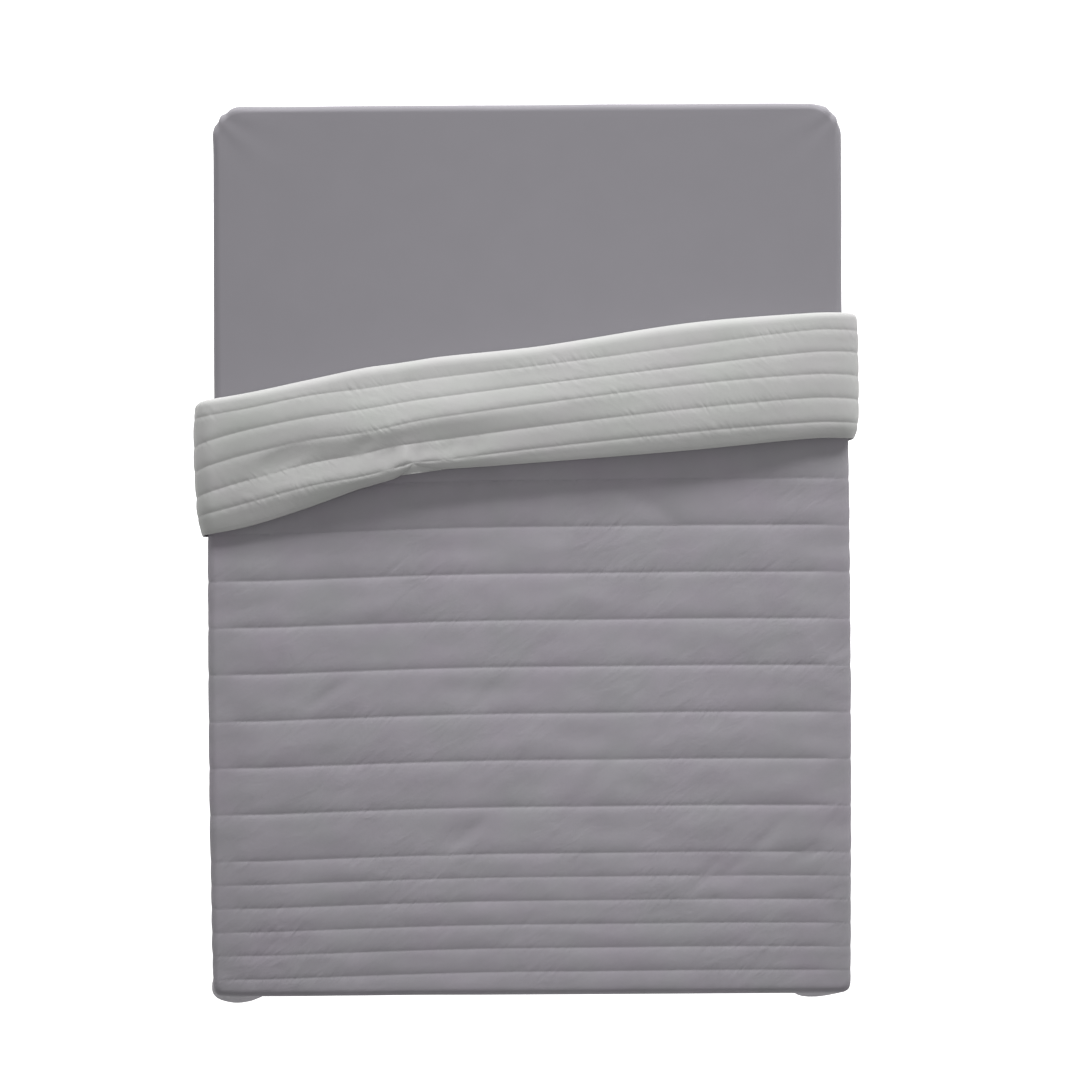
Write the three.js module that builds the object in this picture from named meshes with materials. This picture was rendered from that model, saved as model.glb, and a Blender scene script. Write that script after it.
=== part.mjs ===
// Quilted bedspread on a plain double bed, its head end folded back over itself on a slant.
// Millimetres, +Z up, +Y towards the head of the bed, origin on the floor under the middle of the bed.

import * as THREE from 'three';

// Bed
const bedWidth = 1350;
const bedLength = 1900;
const footHeight = 40;
const footRadius = 28;
const footTaper = 4;
const footSides = 20;
const footInset = 110;
const baseHeight = 290;
const baseEdge = { radius: 12, steps: 4 };
const mattressHeight = 250;
const mattressEdge = { radius: 20, steps: 6 };
const mattressCorner = 70;
const gap = 0.3;
const mattressTop = footHeight + baseHeight + mattressHeight;

// Cut size of the spread and the stitched channels that run across it, counted from its foot hem.
// Loft is half the thickness at the crown of a channel. The powers say how squarely the crown falls to the
// seam on its foot side and on its head side. A wide channel draws in a little when it is filled.
const clothWidth = 2000;
const hemBand = 42;
const narrowPitch = 50.4;
const widePitch = 100.8;
const wideDrawIn = 0.987;
const channelGroups = [
  { kind: 'hem', count: 1, pitch: hemBand, loft: 2.9, footPower: 2.4, headPower: 3.0 },
  { kind: 'narrow', count: 11, pitch: narrowPitch, loft: 3.6, footPower: 2.0, headPower: 2.2 },
  { kind: 'wide', count: 11, pitch: widePitch, loft: 4.3, footPower: 3.8, headPower: 5.0 },
  { kind: 'narrow', count: 5, pitch: narrowPitch, loft: 3.0, footPower: 3.0, headPower: 3.0 },
  { kind: 'hem', count: 1, pitch: hemBand, loft: 2.9, footPower: 3.0, headPower: 2.4 },
];
const seamHalf = 1.2;
const sideHem = 40;
const edgeCrown = { share: 0.45, from: 600, to: 655 };
const layerLift = 4.8;

// How the spread lies on the bed. The last narrow seam on top lies this far from the middle of the bed.
const lastTopSeam = { channelsFromHem: 7, along: -904 };
const rollRadius = 8;
const rollRun = mattressCorner - rollRadius;
const innerHalfWidth = bedWidth / 2 - mattressCorner;
const innerFoot = -(bedLength / 2 - mattressCorner);
const sideDip = { depth: 2, run: 110 };
const sideEase = { left: 6, right: 4, middle: -241, spread: 700, run: 160 };

// How far the seams of the lower layer are shifted along the bed, place by place across it.
const seamBow = [
  { across: -640, shift: -14 },
  { across: -560, shift: -13.8 },
  { across: -400, shift: -9.2 },
  { across: -230, shift: -4.4 },
  { across: -60, shift: -1.5 },
  { across: 150, shift: -0.8 },
  { across: 360, shift: 0.3 },
  { across: 640, shift: -0.6 },
];

// The hanging sides wave slowly. Each foot corner stands off the mattress in a soft flute: the place of its
// middle along the bed's edge, from where the side ends and the corner starts, its width there, and how far
// it reaches well below the edge. The corner's outline is drawn out from a round one to a square one, by a
// power.
const dropWave = { reach: 7, pitch: 410, depth: 280, fadeFrom: 80, fadeTo: 260 };
const cornerRun = 120;
const cornerPower = 9;
const mostLean = 0.75;
const fluteDepth = 375;
const flutes = [
  { side: -1, place: 90, width: 175, reach: 126 },
  { side: 1, place: 106, width: 224, reach: 114 },
];

// The folded-back head end, section by section across the bed: how far along the bed its crest, each of
// its seams and the head hem lie.
const foldSections = [
  { across: -720, crest: 312, seam1: 278, seam2: 218, seam3: 165, seam4: 110, seam5: 68, hem: 28 },
  { across: -605, crest: 327, seam1: 294, seam2: 248, seam3: 197, seam4: 142, seam5: 95, hem: 45 },
  { across: -466, crest: 356, seam1: 322, seam2: 276, seam3: 228, seam4: 179, seam5: 131, hem: 87 },
  { across: -345, crest: 381, seam1: 337, seam2: 293, seam3: 244, seam4: 200, seam5: 153, hem: 130 },
  { across: -285, crest: 389, seam1: 346, seam2: 303, seam3: 256, seam4: 214, seam5: 168, hem: 146 },
  { across: -243, crest: 395, seam1: 352, seam2: 310, seam3: 265, seam4: 220, seam5: 180, hem: 169 },
  { across: -190, crest: 403, seam1: 359, seam2: 317, seam3: 274, seam4: 227, seam5: 184, hem: 166 },
  { across: 20, crest: 424, seam1: 383, seam2: 343, seam3: 302, seam4: 254, seam5: 209, hem: 179 },
  { across: 343, crest: 472, seam1: 424, seam2: 381, seam3: 341, seam4: 290, seam5: 241, hem: 203 },
  { across: 605, crest: 492, seam1: 456, seam2: 409, seam3: 362, seam4: 312, seam5: 261, hem: 227 },
  { across: 720, crest: 495, seam1: 458, seam2: 412, seam3: 362, seam4: 312, seam5: 262, hem: 229 },
];

// How high the middle of the cloth is above the mattress at each of these, or, past the mattress's edge,
// how far out from its side.
const foldHeights = [
  { across: -700, seam1: 35, seam2: 35, seam3: 33.5, seam4: 29.5, seam5: 26, hem: 17 },
  { across: -605, seam1: 44, seam2: 43, seam3: 40, seam4: 35, seam5: 32, hem: 22 },
  { across: -450, seam1: 43, seam2: 47, seam3: 47, seam4: 40, seam5: 42, hem: 31 },
  { across: -300, seam1: 42, seam2: 49, seam3: 54, seam4: 47, seam5: 48, hem: 39 },
  { across: -147, seam1: 41, seam2: 48, seam3: 54, seam4: 47, seam5: 47, hem: 39 },
  { across: 20, seam1: 41, seam2: 46, seam3: 51, seam4: 48, seam5: 45, hem: 38 },
  { across: 343, seam1: 41, seam2: 44, seam3: 47, seam4: 48, seam5: 46, hem: 38 },
  { across: 520, seam1: 38, seam2: 41, seam3: 43, seam4: 43, seam5: 40, hem: 32 },
  { across: 605, seam1: 35, seam2: 37, seam3: 38, seam4: 37, seam5: 34, hem: 26 },
  { across: 700, seam1: 28, seam2: 28, seam3: 28, seam4: 27.5, seam5: 25.5, hem: 16 },
];
const foldNames = ['seam1', 'seam2', 'seam3', 'seam4', 'seam5', 'hem'];
const crestRadius = { middle: 20, side: 13, fadeFrom: 440, fadeTo: 640 };
const crestHalfRun = 30;
const crestSink = 2;
const restChannels = 3;

// Places across the spread, and the extra ones along it, where its surface is worked out.
const sidePlaces = [605, 640, 667, 679, 692, 820, clothWidth / 2];
const topPlaces = [-480, -345, -243, 20, 343];
const columnPlaces = [...sidePlaces.map((place) => -place).reverse(), ...topPlaces, ...sidePlaces];
const footEdgeRows = [282, 304];

function smooth(from, to, value) {
  const t = Math.min(Math.max((value - from) / (to - from), 0), 1);
  return t * t * (3 - 2 * t);
}

// A smooth curve through values at rising places, level beyond the first and last.
function through(places, values, at) {
  const last = places.length - 1;
  const slopes = places.map((_, i) => {
    const low = Math.max(i - 1, 0);
    const high = Math.min(i + 1, last);
    return (values[high] - values[low]) / (places[high] - places[low]);
  });
  const i = Math.min(Math.max(places.findIndex((place) => at < place) - 1, 0), last - 1);
  const start = at >= places[last] ? last - 1 : i;
  const run = places[start + 1] - places[start];
  const t = Math.min(Math.max((at - places[start]) / run, 0), 1);
  const t2 = t * t;
  const t3 = t2 * t;
  return (2 * t3 - 3 * t2 + 1) * values[start] + (t3 - 2 * t2 + t) * run * slopes[start]
    + (3 * t2 - 2 * t3) * values[start + 1] + (t3 - t2) * run * slopes[start + 1];
}

// Every seam of the cut spread, from the foot hem's edge to the head hem's edge, with its channel's loft.
function listChannels() {
  const channels = [];
  let start = 0;
  for (const group of channelGroups) {
    for (let i = 0; i < group.count; i += 1) {
      channels.push({ ...group, start, end: start + group.pitch });
      start += group.pitch;
    }
  }
  return channels;
}

const channels = listChannels();
const wideStart = channels.find((channel) => channel.kind === 'wide').start;
const crestAt = channels.filter((channel) => channel.kind === 'wide').at(-1).end;
const lastTopSeamAt = channels[lastTopSeam.channelsFromHem].start;
const restSeamAt = crestAt - restChannels * widePitch;
const foldSeams = channels.filter((channel) => channel.start >= crestAt).map((channel) => channel.end);

// Half the thickness of the filled cloth: least at seams and side hems, most in mid channel, and pressed
// flatter where the lower layer goes round the mattress's edge.
function halfThickness(u, v) {
  const channel = channels.find((each) => v <= each.end) ?? channels.at(-1);
  const share = (v - channel.start) / (channel.end - channel.start);
  const crown = 1 - Math.abs(2 * share - 1) ** (share < 0.5 ? channel.footPower : channel.headPower);
  const sides = 1 - smooth(clothWidth / 2 - sideHem, clothWidth / 2, Math.abs(u));
  const overEdge = v < crestAt ? smooth(edgeCrown.from, edgeCrown.to, Math.abs(u)) : 0;
  const pressed = 1 - (1 - edgeCrown.share) * overEdge;
  return seamHalf + (channel.loft - seamHalf) * crown * sides * pressed;
}

// Distance along the bed of the lower layer, before the turn at the crest.
function lowerAlong(v) {
  const narrow = lastTopSeam.along + v - lastTopSeamAt;
  if (v <= wideStart) return narrow;
  return lastTopSeam.along + wideStart - lastTopSeamAt + (v - wideStart) * wideDrawIn;
}

// One column of a table, read across the bed as a smooth curve.
function readAcross(table, name, across) {
  return through(table.map((row) => row.across), table.map((row) => row[name]), across);
}

// Place along the bed and lift over the mattress of the cloth's middle, at u across and v along the cut.
function lengthwise(u, v) {
  const onSide = smooth(crestRadius.fadeFrom, crestRadius.fadeTo, Math.abs(u));
  const radius = crestRadius.middle + (crestRadius.side - crestRadius.middle) * onSide;
  const turnStart = crestAt - crestHalfRun;
  const turnEnd = crestAt + crestHalfRun;
  const crest = readAcross(foldSections, 'crest', u);
  const shift = readAcross(seamBow, 'shift', u);
  const lifts = foldNames.map((name) => readAcross(foldHeights, name, u));
  const topLift = lifts[0] - crestSink;
  if (v <= restSeamAt) return { along: lowerAlong(v) + shift, lift: layerLift };
  if (v <= turnStart) {
    const t = (v - restSeamAt) / (turnStart - restSeamAt);
    const from = lowerAlong(restSeamAt) + shift;
    return { along: from + (crest - radius - from) * t, lift: layerLift };
  }
  if (v <= turnEnd) {
    const angle = Math.PI * ((v - turnStart) / (turnEnd - turnStart) - 0.5);
    const half = (topLift - layerLift) / 2;
    return {
      along: crest - radius + radius * Math.cos(angle),
      lift: layerLift + half + half * Math.sin(angle),
    };
  }
  const places = [turnEnd, ...foldSeams];
  const alongs = [crest - radius, ...foldNames.map((name) => readAcross(foldSections, name, u))];
  return { along: through(places, alongs, v), lift: through(places, [topLift, ...lifts], v) };
}

// How much further out a squared corner reaches than a round one, at this share of the way round it.
function squareness(turn) {
  const angle = (turn * Math.PI) / 2;
  return (Math.cos(angle) ** cornerPower + Math.sin(angle) ** cornerPower) ** (-1 / cornerPower);
}

// How far a corner's flute would stand out far below the edge, at this distance along it.
function fluteReach(side, edgePlace) {
  let reach = 0;
  for (const flute of flutes.filter((each) => each.side === side)) {
    const offset = Math.min(Math.abs(edgePlace - flute.place) / flute.width, 0.5);
    reach += flute.reach * Math.cos(Math.PI * offset) ** 2;
  }
  return reach;
}

// How far the hanging cloth stands out at this distance along the bed's edge, this far below it. A slow wave
// runs along the sides, and a flute stands at each foot corner.
function standOut(side, edgePlace, drop) {
  const wave = 0.5 + 0.5 * Math.sin((2 * Math.PI * edgePlace) / dropWave.pitch + side);
  const straight = smooth(dropWave.fadeFrom, dropWave.fadeTo, Math.abs(edgePlace - cornerRun / 2));
  const out = dropWave.reach * wave * straight * Math.min(drop / dropWave.depth, 1);
  return out + fluteReach(side, edgePlace) * Math.tanh(drop / fluteDepth);
}

// Lays a point of flat cloth over the bed: flat on top, round the edge, then hanging. The turn round the edge
// is a quarter circle, less the lean with which a flute starts. A corner is drawn out towards a square one.
function overBed(across, along, lift) {
  const side = Math.sign(across) || 1;
  const pastSide = Math.abs(across) - innerHalfWidth;
  const pastFoot = innerFoot - along;
  const beyondSide = Math.max(pastSide, 0);
  const beyondFoot = Math.max(pastFoot, 0);
  const reach = Math.hypot(beyondSide, beyondFoot);
  const ease = side < 0 ? sideEase.left : sideEase.right;
  const bow = Math.max(1 - ((along - sideEase.middle) / sideEase.spread) ** 2, 0);
  const height = lift + smooth(-sideEase.run, 0, pastSide) * ease * bow;
  const turn = (2 / Math.PI) * Math.atan2(beyondFoot, beyondSide);
  const square = squareness(turn);
  const flatRun = rollRun * square;
  if (reach <= flatRun) return new THREE.Vector3(across, along, mattressTop + height);
  const radius = rollRadius + height;
  const edgePlace = turn * cornerRun + Math.min(pastFoot, 0) + Math.max(-pastSide, 0);
  const mostTurn = Math.acos(fluteReach(side, edgePlace) / fluteDepth);
  const angle = Math.min((reach - flatRun) / radius, mostTurn);
  const drop = Math.max(reach - flatRun - radius * mostTurn, 0);
  const out = Math.min(standOut(side, edgePlace, drop), drop * mostLean);
  const away = flatRun + (radius * Math.sin(angle) + out) * square;
  const fall = radius * (1 - Math.cos(angle)) + Math.sqrt(drop * drop - out * out);
  return new THREE.Vector3(
    across - side * beyondSide + (side * beyondSide * away) / reach,
    along + beyondFoot - (beyondFoot * away) / reach,
    mattressTop + height - fall,
  );
}

// The middle of the spread at u across and v along its cut.
function middlePoint(u, v) {
  const { along, lift } = lengthwise(u, v);
  const dip = sideDip.depth * smooth(innerHalfWidth, innerHalfWidth + sideDip.run, Math.abs(u));
  return overBed(u, along - dip, lift);
}

function middleNormal(u, v) {
  const step = 2;
  const acrossCloth = middlePoint(u + step, v).sub(middlePoint(u - step, v));
  const alongCloth = middlePoint(u, v + step).sub(middlePoint(u, v - step));
  return acrossCloth.cross(alongCloth).normalize();
}

// Rows of points along the cloth: each seam, each mid channel, the turn at the crest and the foot edge.
function rowPlaces() {
  const rows = [0];
  for (const channel of channels) {
    rows.push((channel.start + channel.end) / 2, channel.end);
  }
  rows.push(crestAt - crestHalfRun, crestAt + crestHalfRun / 2, ...footEdgeRows);
  return rows.sort((a, b) => a - b);
}

// One filled half of the spread: side 1 is the face cloth with its half of the filling, -1 the reverse.
function clothHalf(side) {
  const rows = rowPlaces();
  const columns = columnPlaces.length;
  const points = [];
  const layers = [(u, v) => side * (gap / 2 + halfThickness(u, v)), () => (side * gap) / 2];
  for (const offset of layers) {
    for (const v of rows) {
      for (const u of columnPlaces) {
        const point = middlePoint(u, v).addScaledVector(middleNormal(u, v), offset(u, v));
        points.push(point.x, point.y, point.z);
      }
    }
  }
  const layerSize = rows.length * columns;
  const at = (layer, row, column) => layer * layerSize + row * columns + column;
  const triangles = [];
  const quad = (a, b, c, d) => {
    if (side > 0) triangles.push(a, b, c, a, c, d);
    else triangles.push(a, c, b, a, d, c);
  };
  for (let row = 0; row + 1 < rows.length; row += 1) {
    for (let column = 0; column + 1 < columns; column += 1) {
      const after = column + 1;
      const outer = [at(0, row, column), at(0, row, after), at(0, row + 1, after), at(0, row + 1, column)];
      const inner = outer.map((point) => point + layerSize);
      // Left of the middle the quads are split the other way, so that a crease runs round each foot corner.
      const [a, b, c, d] = columnPlaces[column] < 0 ? [1, 2, 3, 0] : [0, 1, 2, 3];
      quad(outer[a], outer[b], outer[c], outer[d]);
      quad(inner[a], inner[d], inner[c], inner[b]);
    }
    quad(at(1, row, 0), at(0, row, 0), at(0, row + 1, 0), at(1, row + 1, 0));
    const end = columns - 1;
    quad(at(0, row, end), at(1, row, end), at(1, row + 1, end), at(0, row + 1, end));
  }
  const top = rows.length - 1;
  for (let column = 0; column + 1 < columns; column += 1) {
    quad(at(1, 0, column), at(1, 0, column + 1), at(0, 0, column + 1), at(0, 0, column));
    quad(at(0, top, column), at(0, top, column + 1), at(1, top, column + 1), at(1, top, column));
  }
  const geometry = new THREE.BufferGeometry();
  geometry.setAttribute('position', new THREE.Float32BufferAttribute(points, 3));
  geometry.setIndex(triangles);
  geometry.computeVertexNormals();
  return geometry;
}

// A flat block as wide and long as the bed, its plan and its top and bottom edges rounded, standing on z = 0.
function roundedBlock(height, edge) {
  const halfWidth = bedWidth / 2 - edge.radius;
  const halfLength = bedLength / 2 - edge.radius;
  const inner = mattressCorner - edge.radius;
  const outline = new THREE.Shape();
  outline.moveTo(halfWidth, halfLength - inner);
  outline.absarc(halfWidth - inner, halfLength - inner, inner, 0, Math.PI / 2);
  outline.absarc(inner - halfWidth, halfLength - inner, inner, Math.PI / 2, Math.PI);
  outline.absarc(inner - halfWidth, inner - halfLength, inner, Math.PI, 1.5 * Math.PI);
  outline.absarc(halfWidth - inner, inner - halfLength, inner, 1.5 * Math.PI, 2 * Math.PI);
  const geometry = new THREE.ExtrudeGeometry(outline, {
    depth: height - 2 * edge.radius,
    bevelThickness: edge.radius,
    bevelSize: edge.radius,
    bevelSegments: edge.steps,
    curveSegments: edge.steps,
  });
  return geometry.translate(0, 0, edge.radius);
}

function foot(x, y) {
  const geometry = new THREE.CylinderGeometry(footRadius, footRadius - footTaper, footHeight, footSides);
  return geometry.rotateX(Math.PI / 2).translate(x, y, footHeight / 2);
}

const mauveCloth = new THREE.MeshStandardMaterial({ color: 0x938c94, roughness: 0.85, metalness: 0 });
const paleCloth = new THREE.MeshStandardMaterial({ color: 0xbcbdbb, roughness: 0.85, metalness: 0 });
const sheetCloth = new THREE.MeshStandardMaterial({ color: 0x5c5a60, roughness: 0.9, metalness: 0 });
const baseCloth = new THREE.MeshStandardMaterial({ color: 0x8e8c8f, roughness: 0.9, metalness: 0 });
const darkPlastic = new THREE.MeshStandardMaterial({ color: 0x2b2b2d, roughness: 0.5, metalness: 0 });

const bed = new THREE.Group();

function add(name, geometry, material, z = 0) {
  const mesh = new THREE.Mesh(geometry, material.clone());
  mesh.name = name;
  mesh.position.z = z;
  bed.add(mesh);
}

add('quilt_face', clothHalf(1), mauveCloth);
add('quilt_reverse', clothHalf(-1), paleCloth);

add('mattress', roundedBlock(mattressHeight - gap, mattressEdge), sheetCloth, footHeight + baseHeight + gap);
add('base', roundedBlock(baseHeight - gap, baseEdge), baseCloth, footHeight + gap);

const footX = bedWidth / 2 - footInset;
const footY = bedLength / 2 - footInset;
add('foot_middle', foot(0, 0), darkPlastic);
add('foot_head_left', foot(-footX, footY), darkPlastic);
add('foot_head_right', foot(footX, footY), darkPlastic);
add('foot_end_left', foot(-footX, -footY), darkPlastic);
add('foot_end_right', foot(footX, -footY), darkPlastic);

export default bed;
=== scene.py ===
"""Quilted bedspread on a plain double bed: its cloth, stitching, mattress, base and studio.

Sizes are in metres. The spread is described on its flat cut: u runs across the bed from its middle,
and v runs along the cloth from the foot hem. Each cloth is a surface of u and v.
"""

import logging
import math
from dataclasses import dataclass, field
from enum import Enum
from typing import Sequence

import bmesh
import bpy
import numpy as np
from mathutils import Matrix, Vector


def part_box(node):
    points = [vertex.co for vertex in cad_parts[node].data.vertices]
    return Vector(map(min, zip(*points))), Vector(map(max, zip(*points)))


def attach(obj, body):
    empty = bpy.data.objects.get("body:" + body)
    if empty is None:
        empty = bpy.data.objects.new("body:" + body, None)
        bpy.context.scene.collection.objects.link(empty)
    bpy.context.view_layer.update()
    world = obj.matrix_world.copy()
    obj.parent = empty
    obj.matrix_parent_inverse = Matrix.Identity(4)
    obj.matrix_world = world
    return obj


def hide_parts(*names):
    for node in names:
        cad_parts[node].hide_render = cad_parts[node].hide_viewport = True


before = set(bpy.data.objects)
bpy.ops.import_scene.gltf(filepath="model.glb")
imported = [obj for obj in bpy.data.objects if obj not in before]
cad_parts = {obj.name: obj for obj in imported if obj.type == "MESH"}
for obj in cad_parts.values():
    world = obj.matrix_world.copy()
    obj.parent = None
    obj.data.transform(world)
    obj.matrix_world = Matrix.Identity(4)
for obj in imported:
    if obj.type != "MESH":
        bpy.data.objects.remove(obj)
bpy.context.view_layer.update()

LOG = logging.getLogger("bedspread")
BODY = "root"
CUT_MAP = "cut"

# The least divisor, and how near two points are to count as one
TINY = 1e-12
MERGE = 1e-6

Array = np.ndarray


# Shared arithmetic


def smoothstep(low: float, high: float, value: Array) -> Array:
    """Eases from 0 at low to 1 at high, by 3 t squared minus 2 t cubed.

    Args:
        low: where the ease starts.
        high: where it ends.
        value: places to ease.

    Returns:
        An array of shares from 0 to 1.
    """
    t = np.clip((value - low) / (high - low), 0.0, 1.0)
    return t * t * (3.0 - 2.0 * t)


def cubic_through(places: Array, values: Array, at: Array) -> Array:
    """A smooth curve through values at rising places.

    Each stretch is the cubic Hermite curve whose slopes are those between a place's two neighbours.

    Args:
        places: K rising places.
        values: K values, or K rows of one value for each point.
        at: N places to read.

    Returns:
        N values.
    """
    count = len(places)
    values = values if values.ndim == 2 else values[:, None]
    low = np.maximum(np.arange(count) - 1, 0)
    high = np.minimum(np.arange(count) + 1, count - 1)
    slopes = (values[high] - values[low]) / (places[high] - places[low])[:, None]
    start = np.clip(np.searchsorted(places, at, side="right") - 1, 0, count - 2)
    column = np.arange(at.size) if values.shape[1] > 1 else np.zeros(at.size, int)
    run = places[start + 1] - places[start]
    t = np.clip((at - places[start]) / run, 0.0, 1.0)
    t2, t3 = t * t, t * t * t
    first, second = values[start, column], values[start + 1, column]
    return (
        (2 * t3 - 3 * t2 + 1) * first
        + (t3 - 2 * t2 + t) * run * slopes[start, column]
        + (3 * t2 - 2 * t3) * second
        + (t3 - t2) * run * slopes[start + 1, column]
    )


def soft_noise(x: Array, y: Array, seed: int) -> Array:
    """Smooth random hills: random values on a unit lattice, joined by eased bilinear blending.

    Args:
        x: first coordinate, in lattice cells.
        y: second coordinate, in lattice cells.
        seed: number that fixes the hills.

    Returns:
        Heights from about -1 to 1.
    """
    side = 128
    lattice = np.random.default_rng(seed).uniform(-1.0, 1.0, (side, side))
    column, row = np.floor(x).astype(int), np.floor(y).astype(int)
    s, t = smoothstep(0, 1, x - column), smoothstep(0, 1, y - row)
    left, right = column % side, (column + 1) % side
    below, above = (
        lattice[level % side, left] * (1 - s) + lattice[level % side, right] * s for level in (row, row + 1)
    )
    return below * (1 - t) + above * t


def unit(vectors: Array) -> Array:
    """Vectors of length one along the rows given."""
    return vectors / np.maximum(np.linalg.norm(vectors, axis=1, keepdims=True), TINY)


# Mesh making


def grid_quads(rows: int, columns: int, around: bool = False) -> Array:
    """Quads of a grid whose points are numbered row by row.

    Args:
        rows: number of rows of points.
        columns: number of points in a row.
        around: whether each row closes on itself.

    Returns:
        An array with four point numbers for each quad, counter-clockwise seen with rows upwards.
    """
    across = columns if around else columns - 1
    row, column = np.meshgrid(np.arange(rows - 1), np.arange(across), indexing="ij")
    after = (column + 1) % columns
    here, next_row = row * columns, (row + 1) * columns
    corners = (here + column, here + after, next_row + after, next_row + column)
    return np.stack(corners, axis=-1).reshape(-1, 4)


def bridge(fine: Array, coarse: Array, ranks: Array) -> Array:
    """Triangles between a fine edge and a coarse one that lies along it.

    Each fine point belongs to the coarse point nearest in rank. A fine stretch makes one triangle with its
    coarse point, and one more where the coarse point changes.

    Args:
        fine: point numbers along the fine edge.
        coarse: point numbers along the coarse edge.
        ranks: for each coarse point, the rank of the fine point that it lies beside.

    Returns:
        An array with three point numbers for each triangle.
    """
    steps = np.arange(len(fine))
    owner = np.abs(steps[:, None] - ranks[None, :]).argmin(axis=1)
    here, there = owner[:-1], owner[1:]
    triangles = np.stack([fine[:-1], fine[1:], coarse[here]], axis=1)
    turn = np.flatnonzero(here != there)
    turns = np.stack([fine[turn + 1], coarse[there[turn]], coarse[here[turn]]], axis=1)
    return np.concatenate([triangles, turns])


def raised(plan: Array, height: Array) -> Array:
    """Rows of points in plan, R by C by 2, with a height for each row, as R by C by 3."""
    level = np.broadcast_to(height[:, None, None], (*plan.shape[:2], 1))
    return np.concatenate([plan, level], axis=2)


def make_object(
    name: str, points: Array, faces: Sequence[Array], cut: Array | None = None
) -> bpy.types.Object:
    """Makes a smooth-shaded mesh object at the origin.

    Args:
        name: the piece's name.
        points: N by 3 places in metres.
        faces: arrays of faces, each with one face length.
        cut: N by 2 places on the flat cut, kept as the piece's UV map.

    Returns:
        The new object.
    """
    mesh = bpy.data.meshes.new(name)
    mesh.from_pydata(points.tolist(), [], [face for block in faces for face in block.tolist()])
    mesh.polygons.foreach_set("use_smooth", np.ones(len(mesh.polygons), bool))
    if cut is not None:
        corners = np.empty(len(mesh.loops), np.int32)
        mesh.loops.foreach_get("vertex_index", corners)
        mesh.uv_layers.new(name=CUT_MAP).data.foreach_set("uv", cut[corners].astype(np.float32).ravel())
    mesh.update()
    piece = bpy.data.objects.new(name, mesh)
    bpy.context.scene.collection.objects.link(piece)
    return piece


def merge_doubles(piece: bpy.types.Object, distance: float = MERGE) -> None:
    """Joins points that lie on each other, and turns the faces outwards.

    Args:
        piece: the object to clean.
        distance: how near two points are to count as one.
    """
    shape = bmesh.new()
    shape.from_mesh(piece.data)
    bmesh.ops.remove_doubles(shape, verts=shape.verts, dist=distance)
    bmesh.ops.recalc_face_normals(shape, faces=shape.faces)
    shape.to_mesh(piece.data)
    shape.free()


# Finishes


# Bands of a wave texture in two pi, the fibres' share in the tone, and how wavy slanted noise is
WAVE_BANDS = 20
FIBRE_TONE = 0.10
SLANT_DISTORTION = 0.7


class Nodes:
    """Adds and joins the nodes of one material or node group."""

    def __init__(self, tree: bpy.types.NodeTree) -> None:
        """Keeps the tree that the nodes go into."""
        self.tree = tree

    def add(
        self, kind: str, inputs: dict[str | int, object] | None = None, **settings: object
    ) -> bpy.types.Node:
        """Adds a node.

        Args:
            kind: the node's type name, without its ShaderNode start.
            inputs: values or output sockets for its inputs, by name or number.
            settings: properties of the node itself.

        Returns:
            The new node.
        """
        node = self.tree.nodes.new("ShaderNode" + kind)
        for name, value in settings.items():
            setattr(node, name, value)
        for name, value in (inputs or {}).items():
            if isinstance(value, bpy.types.NodeSocket):
                self.tree.links.new(value, node.inputs[name])
            else:
                node.inputs[name].default_value = value
        return node

    def math(self, operation: str, first: object, second: object = 0.5) -> bpy.types.NodeSocket:
        """The output of a Math node on two values or sockets."""
        return self.add("Math", {0: first, 1: second}, operation=operation).outputs[0]

    def noise(
        self, place: bpy.types.NodeSocket, scale: float, detail: float, distortion: float = 0.0
    ) -> bpy.types.NodeSocket:
        """The height, from 0 to 1, of a noise texture at a place."""
        inputs = {"Vector": place, "Scale": scale, "Detail": detail, "Distortion": distortion}
        return self.add("TexNoise", inputs).outputs["Fac"]

    def offset(self, value: bpy.types.NodeSocket, share: object) -> bpy.types.NodeSocket:
        """How far a height is from its middle of a half, times a share."""
        return self.math("MULTIPLY", self.math("SUBTRACT", value, 0.5), share)

    def tinted(self, colour: object, *shares: bpy.types.NodeSocket) -> bpy.types.NodeSocket:
        """A colour whose red, green and blue are each multiplied by a share."""
        factor = self.add("CombineColor", dict(enumerate(shares))).outputs[0]
        inputs = {0: 1.0, 6: colour, 7: factor}
        return self.add("Mix", inputs, data_type="RGBA", blend_type="MULTIPLY").outputs[2]

    def slanted_noise(
        self, place: bpy.types.NodeSocket, angle: float, scale: tuple[float, float, float], detail: float
    ) -> bpy.types.NodeSocket:
        """The height of a noise texture that is turned by an angle and then stretched."""
        turned = self.add("VectorRotate", {"Vector": place, "Angle": angle}, rotation_type="Z_AXIS")
        mapped = self.add("Mapping", {"Vector": turned.outputs[0], "Scale": scale})
        return self.noise(mapped.outputs["Vector"], 1.0, detail, SLANT_DISTORTION)


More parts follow.
